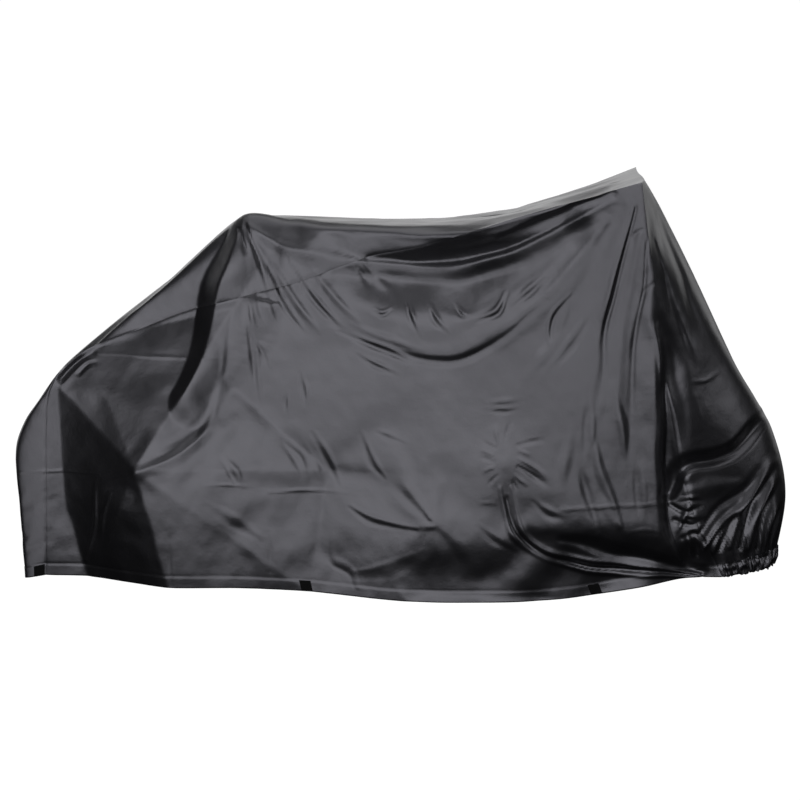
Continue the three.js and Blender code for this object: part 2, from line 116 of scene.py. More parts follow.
def even(points, shares):
    """The t values at which these shares of the curve's length are reached, and the length."""
    t = np.linspace(0, 1, LENGTH_STEPS)
    step = np.linalg.norm(np.diff(spline(points, t), axis=0), axis=1)
    walked = np.concatenate([[0], np.cumsum(step)])
    return np.interp(np.asarray(shares) * walked[-1], walked, t), walked[-1]


def walk(points, shares):
    shares = np.asarray(shares, float)
    t, _ = even(points, shares.ravel())
    return spline(points, t).reshape(*shares.shape, 3)


def smooth(t):
    t = np.clip(t, 0, 1)
    return t * t * (3 - 2 * t)


# %% [markdown]
# Folds. A fold is a path in side view with a height out of the sheet: a ridge is above 0 and a trough below.
# It reaches less far on its steep side than on its soft side. A ray from a support starts narrow and dies
# out wide, and a swag between two supports is narrow at both ends. A tent is a point that pushes the cloth
# out from inside, such as a pedal. A facet is cloth drawn flat from such a point to the places around it.
# All of them are placed one by one.

# %% Main folds of the two sides, in millimetres
# kind: width at the start and end, how taut the fold is, from 0, a soft roll, to 1, a drawn ridge, and its
# form: a fold, a flap that lies flat on the right of the path, or a tuck that goes down again on the right
RAY, SWAG, RIDGE = (0.4, 1.5, 0.5, "fold"), (0.6, 0.6, 0.2, "fold"), (1, 1, 0.9, "fold")
VALLEY, CREASE = (1, 1, 0.3, "fold"), (1, 1, 0.6, "fold")
STEP, TUCK = (0.6, 0.6, 0.3, "flap"), (0.6, 0.6, 0, "tuck")
NEAR_TENTS = [
    # x, z, height, reach
    (415, -665, 24, 260),
    (570, -525, 12, 120),
]
NEAR_FACETS = [
    # x, z and height of the tip, and of the points of the rim in order
    ((-243, -540, 97), [(-422, -372, 0), (-419, -527, 0), (-409, -640, 0), (-385, -730, 0), (-356, -820, 0),
                        (-166, -818, 40), (140, -815, 0), (180, -546, 0), (-50, -345, 24), (-25, -190, 0),
                        (-240, -245, -9), (-362, -292, -8)]),
]
NEAR_FOLDS = [
    # kind, path, height, reach on the left and right of the path, share of height at start and end
    # saddle
    (STEP, [(-5, 0), (-35, -85), (-60, -145), (-65, -195), (-75, -240), (-95, -295),
            (-135, -370)], 38, 160, 44, 0.55, 0.6),
    (RAY, [(10, -15), (85, -55), (155, -75), (225, -85)], 6, 14, 32, 0.5, 0.2),
    (STEP, [(330, -95), (260, -85), (185, -70), (110, -50), (20, -20)], 9, 44, 62, 0.3, 0.4),
    (STEP, [(685, 0), (555, -55), (450, -80), (350, -85), (270, -75), (205, -60)], -36, 150, 56, 0.4, 0.3),
    (SWAG, [(230, -80), (340, -95), (440, -95), (535, -75), (640, -30), (730, 20),
            (795, 55)], 15, 10, 46, 0.1, 0.15),
    (SWAG, [(555, -25), (675, 25), (795, 75)], -9, 14, 30, 0.3, 0.5),
    (SWAG, [(275, -125), (385, -135), (455, -130), (550, -105), (640, -55), (715, -15),
            (795, 45)], -9, 40, 130, 0.3, 0.3),
    (SWAG, [(330, -250), (375, -275), (435, -285), (490, -265), (550, -225), (610, -185), (685, -115),
            (780, 10)], 5, 40, 26, 0.2, 0.5),
    (SWAG, [(490, -300), (625, -200), (720, -95), (800, 30)], 3, 34, 36, 0.1, 0.5),
    (SWAG, [(385, -185), (490, -205), (570, -170), (655, -100), (760, 15)], 2.5, 26, 30, 0.1, 0.4),
    (RAY, [(0, -15), (25, -75), (45, -130), (65, -170)], -4.5, 9, 10, 0.8, 0),
    (RAY, [(15, -40), (65, -115), (115, -180), (170, -250)], 3.5, 14, 16, 0.2, 0.1),
    (RIDGE, [(10, 0), (135, -15), (265, -20), (385, -25), (490, -10), (600, 20), (705, 50),
             (810, 95)], 7, 12, 18, 0.4, 0.4),
    # rear
    (RIDGE, [(-240, -545), (-165, -515), (-95, -465), (-70, -420), (-55, -350)], 5, 16, 26, 0.8, 0.3),
    (SWAG, [(-180, -490), (-115, -455), (-80, -405)], -3, 22, 22, 0.2, 0.2),
    # bars and front edge
    (RAY, [(830, 50), (800, -75), (780, -180), (765, -290)], 3.5, 30, 55, 0.6, 0),
    (RAY, [(855, -15), (830, -160), (815, -290), (810, -445), (805, -580)], 3, 24, 24, 0.5, 0),
    (RIDGE, [(865, -5), (880, -180), (895, -380), (900, -605), (915, -730)], 4, 16, 60, 0.2, 0.5),
    (VALLEY, [(890, -130), (910, -225), (920, -340), (925, -470), (925, -605), (940, -685),
              (970, -740)], -24, 58, 15, 0.1, 0.6),
    # front panel
    (RIDGE, [(895, -225), (925, -355), (945, -435), (960, -555)], 12, 26, 18, 0.2, 0.4),
    (RAY, [(890, -30), (920, -140), (960, -255), (990, -355)], -5, 10, 20, 0.4, 0.1),
    (RAY, [(900, 30), (940, -65), (975, -165), (1005, -255)], -4, 9, 18, 0.4, 0.1),
    (RAY, [(895, 35), (910, -30), (925, -90)], -3, 16, 18, 0.4, 0.1),
    (RIDGE, [(970, -25), (1025, -150), (1090, -275)], 3, 26, 34, 0.2, 0.3),
    (VALLEY, [(935, -595), (965, -535), (1030, -525), (1090, -505), (1160, -440)], -19, 34, 17, 0.7, 0.5),
    (SWAG, [(970, -585), (1025, -580), (1080, -575)], 5, 26, 34, 0.5, 0.5),
    # pedal
    (RAY, [(415, -660), (415, -540), (415, -410), (410, -320)], 2, 60, 60, 0.9, 0),
    (RAY, [(405, -655), (380, -630), (345, -595), (305, -555)], -1.5, 18, 18, 0.7, 0.1),
    (RAY, [(410, -665), (340, -660), (275, -640), (205, -620)], 1.5, 24, 30, 0.9, 0),
    (RAY, [(405, -645), (365, -590), (335, -550)], 1.5, 18, 20, 0.8, 0),
    (RAY, [(420, -670), (460, -725), (480, -780)], -2, 30, 36, 0.5, 0.3),
    (RAY, [(405, -670), (375, -725), (330, -775)], -2, 36, 30, 0.5, 0.3),
    # wheel edge and hem
    (SWAG, [(405, -810), (605, -820), (745, -830), (875, -820), (990, -800)], -34, 190, 60, 0.3, 0.7),
    (SWAG, [(625, -730), (780, -765), (915, -770), (1010, -780)], -18, 120, 120, 0.3, 0.7),
    (SWAG, [(695, -695), (745, -705), (795, -725), (875, -740), (1010, -775)], -10, 34, 18, 0.3, 0.6),
]
FAR_TENTS = [
    (110, -560, 24, 250),
    (980, -520, 10, 150),
]
FAR_FACETS = [
    ((-190, -575, 78), [(-418, -372, 0), (-398, -603, 0), (-350, -820, 0), (-145, -818, 38), (140, -815, 0),
                        (170, -550, 0), (-50, -370, 22), (-25, -190, 0), (-240, -245, -9), (-362, -292, -8)]),
]
FAR_FOLDS = [
    # saddle and top tube
    (STEP, [(-5, -20), (-55, -120), (-70, -210), (-120, -370)], 30, 120, 46, 0.5, 0.2),
    (SWAG, [(-35, -30), (-85, -130), (-105, -220), (-145, -360)], -14, 26, 70, 0.3, 0.1),
    (RAY, [(30, -20), (90, -160), (150, -280)], 4, 24, 22, 0.5, 0.1),
    (SWAG, [(60, -30), (190, -80), (350, -110), (500, -80), (640, -5)], -32, 80, 150, 0.2, 0.3),
    (SWAG, [(230, -210), (390, -290), (500, -280), (660, -130), (790, 20)], 3.5, 60, 34, 0.2, 0.5),
    (SWAG, [(330, -180), (450, -200), (560, -170), (700, -30)], -3, 30, 40, 0.2, 0.4),
    # bars and front edge
    (RAY, [(830, 50), (800, -90), (760, -280), (740, -450)], -4, 26, 30, 0.6, 0.1),
    (RAY, [(860, 20), (845, -150), (830, -330), (820, -520)], 4, 26, 26, 0.5, 0),
    (RIDGE, [(865, 30), (872, -150), (885, -400), (905, -640)], 4, 16, 60, 0.2, 0.5),
    (VALLEY, [(890, -150), (915, -340), (920, -560), (945, -690)], -20, 54, 16, 0.2, 0.5),
    (VALLEY, [(960, -600), (1040, -540), (1150, -440)], -16, 40, 28, 0.6, 0.4),
    # pedal, wheel and hem
    (RAY, [(110, -560), (130, -430), (120, -320)], 3, 50, 50, 0.9, 0),
    (RAY, [(110, -560), (230, -600), (330, -690)], 3, 28, 32, 0.9, 0),
    (RAY, [(110, -560), (60, -660), (40, -770)], -3, 32, 32, 0.5, 0.2),
    (SWAG, [(470, -520), (620, -660), (800, -740), (1000, -770)], 4, 26, 36, 0.2, 0.6),
    (SWAG, [(620, -725), (760, -742), (890, -752), (990, -776)], -20, 120, 50, 0.2, 0.4),
]

# %% [markdown]
# How high the cloth stands over a point of the side view. A fold's height depends on how far a point lies
# from its path. Cloth never folds along a ruled line, so a slow, seeded wander bends every path a little
# and makes each fold higher here and lower there.

# %% Height of folds and tents over points of the side view
PATH_STEPS = 20
FOLD_MARGIN = 1.6  # how many reaches away from its path a fold is worked out
RIDGE_ROUND, RIDGE_FALL, TUCK_HEIGHT = 0.1, 1.6, 3.5
TENT_ROUND, TENT_FALL = 0.08, 1.5
WANDER, UNEVEN = 2, 0.3
ROUND_EDGE = [(0, 0), (4, 0), (-4, 0), (0, 4), (0, -4)]  # a facet's edges are the mean of these shifts
chance = np.random.default_rng(7)


def slow_noise(longest, shortest, count):
    """A smooth random field of side-view points, from -1 to 1, as a sum of seeded waves."""
    lengths = chance.uniform(shortest, longest, count)
    turns = chance.uniform(0, 2 * np.pi, count)
    starts = chance.uniform(0, 2 * np.pi, count)

    def field(x, z):
        waves = [np.sin(2 * np.pi * (x * np.cos(turn) + z * np.sin(turn)) / length + start)
                 for length, turn, start in zip(lengths, turns, starts)]
        return sum(waves) / np.sqrt(2 * count)
    return field


wander_x, wander_z, unevenness = (slow_noise(300, 90, 7) for _ in range(3))


def fold_height(fold, x, z):
    """Height of one fold, from how far points lie from its path, on which side and how far along it."""
    (narrow, wide, taut, shape), path, height, left, right, start, end = fold
    route = spline(path, np.linspace(0, 1, PATH_STEPS + 1))
    margin = FOLD_MARGIN * max(left, right)
    low, high = route.min(axis=0) - margin, route.max(axis=0) + margin
    inside = (x > low[0]) & (x < high[0]) & (z > low[1]) & (z < high[1])
    x, z = x[inside], z[inside]
    nearest = np.full(x.shape, np.inf)
    side = np.zeros(x.shape)
    along = np.zeros(x.shape)
    for k in range(PATH_STEPS):
        (ax, az), (bx, bz) = route[k], route[k + 1]
        dx, dz = bx - ax, bz - az
        t = np.clip(((x - ax) * dx + (z - az) * dz) / (dx * dx + dz * dz), 0, 1)
        distance = np.hypot(x - ax - t * dx, z - az - t * dz)
        closer = distance < nearest
        nearest = np.where(closer, distance, nearest)
        side = np.where(closer, (dx * (z - az) - dz * (x - ax)) / math.hypot(dx, dz), side)
        along = np.where(closer, (k + t) / PATH_STEPS, along)
    first, second = smooth(along * 2), smooth(along * 2 - 1)
    fade = start + (1 - start) * first + (end - 1) * second
    width = narrow + (1 - narrow) * first + (wide - 1) * second
    side = side / np.maximum(nearest, 1e-6)
    off = np.clip(nearest / ((right + (left - right) * (0.5 + 0.5 * side)) * width), 0, 1)
    slope = np.hypot(off, RIDGE_ROUND) - RIDGE_ROUND
    drawn = (1 - slope / (math.hypot(1, RIDGE_ROUND) - RIDGE_ROUND)) ** RIDGE_FALL
    soft = (1 - off**2) ** 2
    round_fold = taut * drawn + (1 - taut) * soft
    flap = round_fold + (1 - off - round_fold) * (0.5 - 0.5 * side)
    rise = {"fold": round_fold, "flap": flap, "tuck": TUCK_HEIGHT * off * soft * side}[shape]
    risen = np.zeros(inside.shape)
    risen[inside] = height * fade * rise
    return risen


def tent_height(tent, x, z):
    tent_x, tent_z, height, reach = tent
    distance = np.sqrt((x - tent_x) ** 2 + (z - tent_z) ** 2 + (reach * TENT_ROUND) ** 2)
    return height * np.clip(1 - distance / reach, 0, 1) ** TENT_FALL


def facet_height(facet, x, z):
    """Cloth drawn flat between a tip and each two neighbours of its rim, with rounded edges."""
    (tip_x, tip_z, tip), rim = facet
    total = np.zeros(x.shape)
    for shift_x, shift_z in ROUND_EDGE:
        px, pz = x + shift_x - tip_x, z + shift_z - tip_z
        for (ax, az, first), (bx, bz, second) in zip(rim, rim[1:] + rim[:1]):
            ax, az, bx, bz = ax - tip_x, az - tip_z, bx - tip_x, bz - tip_z
            turn = ax * bz - az * bx
            a, b = (px * bz - pz * bx) / turn, (ax * pz - az * px) / turn
            height = tip * np.clip(1 - a - b, 0, 1) + (a * first + b * second) / np.maximum(a + b, 1)
            total += np.where((a >= 0) & (b > 0), height * np.clip(2 - a - b, 0, 1), 0)
    return total / len(ROUND_EDGE)


def relief(tents, facets, folds, x, z):
    bent_x, bent_z = x + WANDER * wander_x(x, z), z + WANDER * wander_z(x, z)
    tents_up = sum(tent_height(row, x, z) for row in tents)
    folds_up = sum(fold_height(row, bent_x, bent_z) for row in folds)
    facets_up = sum(facet_height(row, bent_x, bent_z) for row in facets)
    return tents_up + facets_up + folds_up * (1 + UNEVEN * unevenness(x, z))


# %% [markdown]
# The sheets as grids. A side panel is a sheet stretched between four curves: hem, rear seam, top seam and
# front seam. The centre panel is a row of cuts from seam to spine to seam. Each is worked out as an array of
# places first, so that both panels have the very same points along their seam. The grid is closer along the
# hem and along the seams, where the cloth is sewn.

# %% Places of the side panels and of the centre panel
HEM_BAND, HEM_STEPS = 26, 9
SEAM_BAND, SEAM_STEPS = 10, 3
SIDE_STEPS, MID_STEPS, LANE_STEPS = 402, 189, 57
LANE_CROWD, SPINE_CALM = 1.25, 0.6  # lanes lie closer at the seam, and folds die out before the spine


def seam_run(sign, first, last):
    """Seam, spine and roundness of some rows of CUTS. The sign is -1 for the near side and 1 for the far."""
    rows = CUTS[first:last + 1]
    drop = rows[:, 7] if sign > 0 else 0
    seam = np.column_stack([rows[:, 0], sign * rows[:, 1], rows[:, 2] - drop])
    if first <= GRIP_CORNER <= last:
        seam[GRIP_CORNER - first, 0] += sign * BAR_TURN / 2
    spine = np.column_stack([rows[:, 3], np.zeros(len(rows)), rows[:, 4]])
    return seam, spine, rows[:, 6 if sign > 0 else 5]


def side_runs(sign):
    front_seam, front_spine, front_crest = seam_run(sign, GRIP_CORNER, len(CUTS) - 1)
    return {"rear": seam_run(sign, 0, REAR_CORNER), "top": seam_run(sign, REAR_CORNER, GRIP_CORNER),
            "front": (front_seam[::-1], front_spine[::-1], front_crest[::-1]), "hem": HEM * (1, sign, 1)}


columns = np.linspace(0, 1, SIDE_STEPS + 1)


def rises(length):
    """Shares of the way up from the hem, in steps that are small at the hem and under the seam."""
    hem = np.linspace(0, HEM_BAND, HEM_STEPS + 1)[:-1]
    seam = length - np.linspace(SEAM_BAND, 0, SEAM_STEPS + 1)[1:]
    middle = np.linspace(HEM_BAND, length - SEAM_BAND, MID_STEPS + 1)
    return np.concatenate([hem, middle, seam]) / length


def side_places(sign):
    runs = side_runs(sign)
    hem, top = walk(runs["hem"], columns)[None], walk(runs["top"][0], columns)[None]
    heights = np.linalg.norm(top - hem, axis=2)[0]
    heights[0], heights[-1] = even(runs["rear"][0], [1])[1], even(runs["front"][0], [1])[1]
    v = np.column_stack([rises(height) for height in heights])
    rear, front = walk(runs["rear"][0], v), walk(runs["front"][0], v)
    u, v = columns[None, :, None], v[..., None]
    corners = ((1 - u) * (1 - v) * hem[:, :1] + u * (1 - v) * hem[:, -1:]
               + (1 - u) * v * top[:, :1] + u * v * top[:, -1:])
    return (1 - v) * hem + v * top + (1 - u) * rear + u * front - corners


def stops(sign):
    """Seam, spine and roundness at every cut of the grid, from the rear hem to the front hem."""
    runs = side_runs(sign)
    rear_length, front_length = (even(runs[name][0], [1])[1] for name in ("rear", "front"))
    found = []
    front_shares = rises(front_length)[-2::-1]
    for name, shares in (("rear", rises(rear_length)), ("top", columns[1:]), ("front", front_shares)):
        seam, spine, crest = runs[name]
        t, _ = even(seam, shares)
        row = np.linspace(0, 1, len(crest))
        found.append((spline(seam, t), spline(spine, t), np.interp(t, row, crest)))
    return [np.concatenate(part) for part in zip(*found)]


def grid_normals(places):
    along = np.gradient(places, axis=0)
    across = np.gradient(places, axis=1)
    normal = np.cross(across, along)
    return normal / np.maximum(np.linalg.norm(normal, axis=2, keepdims=True), 1e-9)


lanes = 1 - np.linspace(1, 0, LANE_STEPS + 1) ** LANE_CROWD


def half_centre(sign):
    """Places of half the centre panel from spine to seam, and the way out of the cloth."""
    seam, spine, crest = stops(sign)
    drop = (lanes[None, :] ** crest[:, None])[..., None]
    places = spine[:, None] + (seam - spine)[:, None] * drop
    places[..., 1] = seam[:, None, 1] * lanes[None, :]
    share = smooth(lanes)[None, :, None]
    out = grid_normals(places) * -sign * (1 - share**3) + np.array([0, sign, 0]) * share**3
    return places, out * smooth(lanes / SPINE_CALM)[None, :, None]


def joined(near_half, far_half):
    return np.concatenate([near_half[:, :0:-1], far_half], axis=1)


flat = {"near": side_places(-1), "far": side_places(1)}
out = {"near": np.zeros_like(flat["near"]) + (0, -1, 0), "far": np.zeros_like(flat["far"]) + (0, 1, 0)}
(near_half, near_out), (far_half, far_out) = half_centre(-1), half_centre(1)
flat["centre"], out["centre"] = joined(near_half, far_half), joined(near_out, far_out)


def heights_of(near_rows, far_rows):
    """Relief over all three sheets from the near and the far tables, each of tents, facets and folds."""
    def over(rows, places):
        return relief(*rows, places[..., 0], places[..., 2])
    return {"near": over(near_rows, flat["near"]), "far": over(far_rows, flat["far"]),
            "centre": joined(over(near_rows, near_half), over(far_rows, far_half))}


def raised(places, heights):
    return {name: places[name] + out[name] * heights[name][..., None] for name in places}


cloth = raised(flat, heights_of((NEAR_TENTS, NEAR_FACETS, NEAR_FOLDS), (FAR_TENTS, FAR_FACETS, FAR_FOLDS)))
print({name: places.shape for name, places in cloth.items()})

# %% [markdown]
# Settling the drape. The folds above give the cloth its spare length, and its weight then arranges it: the
# three sheets are sewn into one net of coarser steps, held where the saddle, the bars, the wheels and the
# pedals hold it, and Blender's cloth solver lets the rest hang and buckle between those points. The cover
# keeps its overall shape, so the broad part of the movement is taken off again, and the folds stay.

# %% Settle the cloth under its weight
SETTLE_STEP, SETTLE_FRAMES = 3, 26
GROWTH, PULL = 0.004, 0.2  # share of length that is spare, share of gravity
BROAD_STEPS, RIPPLE_STEPS = 160, 3
WELD = 0.05
HOLDS = [
    # lowest x, y, z and highest x, y, z in millimetres, and how firmly the cloth is held there
    ((-60, -60, -25), (90, 60, 20), 1.0),
    ((830, -310, 80), (900, 310, 120), 1.0),
    ((-540, -45, -700), (-490, 45, -430), 0.8),
    ((-540, -80, -830), (-440, 80, -780), 0.7),
    ((1165, -70, -700), (1260, 70, -440), 0.8),
    ((1060, -180, -830), (1260, 180, -770), 0.8),
    ((-440, -320, -850), (1060, 320, -790), 0.8),
]
TENT_HOLD = 25


def held_share(points):
    share = np.zeros(len(points))
    for low, high, firm in HOLDS:
        inside = np.all((points > low) & (points < high), axis=1)
        share[inside] = np.maximum(share[inside], firm)
    for sign, tents, facets in ((-1, NEAR_TENTS, NEAR_FACETS), (1, FAR_TENTS, FAR_FACETS)):
        for x, z, *_ in tents + [tip for tip, _ in facets]:
            tip = np.hypot(points[:, 0] - x, points[:, 2] - z) < TENT_HOLD
            share[tip & (points[:, 1] * sign > 0)] = 1.0
    return share


def lay_grid(work, places):
    """Adds a grid to a bmesh, with its points on these places."""
    rows, cols = places.shape[:2]
    made = bmesh.ops.create_grid(work, x_segments=cols - 1, y_segments=rows - 1, size=0.5, calc_uvs=True)
    for vert in made["verts"]:
        col = round((vert.co.x + 0.5) * (cols - 1))
        row = round((vert.co.y + 0.5) * (rows - 1))
        vert.co = places[row, col] * MM


def mesh_of(work, name):
    mesh = bpy.data.meshes.new(name)
    work.to_mesh(mesh)
    work.free()
    return mesh


def placed(name, data):
    """A new object of the scene with this data."""
    thing = bpy.data.objects.new(name, data)
    bpy.context.scene.collection.objects.link(thing)
    return thing


def sewn_net(nets):
    work = bmesh.new()
    for places in nets:
        lay_grid(work, places)
    bmesh.ops.remove_doubles(work, verts=work.verts, dist=WELD * MM)
    return placed("sewn_net", mesh_of(work, "sewn_net"))


def broad_part(shift, edges, steps):
    """The movement evened out over its neighbours many times, which leaves its broad waves."""
    a, b = edges.T
    count = np.bincount(edges.ravel(), minlength=len(shift))[:, None]
    for _ in range(steps):
        parts = [np.bincount(a, shift[b, k], len(shift)) + np.bincount(b, shift[a, k], len(shift))
                 for k in range(3)]
        total = np.column_stack(parts)
        shift = 0.5 * shift + 0.5 * total / count
    return shift


def points_of(mesh):
    numbers = np.empty(len(mesh.vertices) * 3)
    mesh.vertices.foreach_get("co", numbers)
    return numbers.reshape(-1, 3) / MM


def hang(net, start):
    """Lets the net hang from its held points and returns how far each point moved."""
    held = net.vertex_groups.new(name="held")
    share = held_share(start)
    for firm in np.unique(share[share > 0]):
        held.add(np.flatnonzero(share == firm).tolist(), float(firm), "REPLACE")
    solver = net.modifiers.new("weight of the cloth", "CLOTH")
    settings = solver.settings
    settings.vertex_group_mass = "held"
    settings.quality = 5
    settings.mass = 0.0015
    settings.tension_stiffness = settings.compression_stiffness = 80
    settings.shear_stiffness = 20
    settings.bending_stiffness = 0.4
    settings.tension_damping = settings.compression_damping = settings.shear_damping = 5
    settings.bending_damping = 0.5
    settings.shrink_min = settings.shrink_max = -GROWTH
    settings.effector_weights.gravity = PULL
    solver.collision_settings.use_collision = False
    solver.point_cache.frame_end = SETTLE_FRAMES
    for moment in range(1, SETTLE_FRAMES + 1):
        bpy.context.scene.frame_set(moment)
    hung = net.evaluated_get(bpy.context.evaluated_depsgraph_get()).to_mesh()
    shift = points_of(hung) - start
    bpy.context.scene.frame_set(1)
    return shift


def finer(net, shape):
    """Cubic steps between the points of a coarse net."""
    for axis, count in enumerate(shape):
        net = np.moveaxis(net, axis, 0)
        t = np.linspace(0, len(net) - 1, count)
        k = np.clip(t.astype(int), 0, len(net) - 2)
        w = (t - k)[:, None, None]
        p0, p1, p2, p3 = net[np.maximum(k - 1, 0)], net[k], net[k + 1], net[np.minimum(k + 2, len(net) - 1)]
        net = p1 + 0.5 * w * (p2 - p0 + w * (2 * p0 - 5 * p1 + 4 * p2 - p3 + w * (3 * (p1 - p2) + p3 - p0)))
        net = np.moveaxis(net, 0, axis)
    return net


def settle(sheets):
    nets = {name: places[::SETTLE_STEP, ::SETTLE_STEP] for name, places in sheets.items()}
    net = sewn_net(nets.values())
    start = points_of(net.data)
    edges = np.empty(len(net.data.edges) * 2, int)
    net.data.edges.foreach_get("vertices", edges)
    shift = hang(net, start)
    bpy.data.objects.remove(net)
    print("settled", len(start), "points, most moved", np.abs(shift).max().round(1), "mm")
    edges = edges.reshape(-1, 2)
    shift = broad_part(shift, edges, RIPPLE_STEPS) - broad_part(shift, edges, BROAD_STEPS)
    tree = KDTree(len(start))
    for k, point in enumerate(start):
        tree.insert(point, k)
    tree.balance()
    moved = {}
    for name, rough in nets.items():
        found = [tree.find(point)[1] for point in rough.reshape(-1, 3)]
        moved[name] = sheets[name] + finer(shift[found].reshape(rough.shape), sheets[name].shape[:2])
    return moved


cloth = settle(cloth)

# %% [markdown]
# Small creases come after the drape, as they do on the real cover: puckers at the corners, wrinkles that
# radiate from the edge of the front wheel, the gathers over the elastic, and the sharp lines in which the
# cover was folded in its bag.

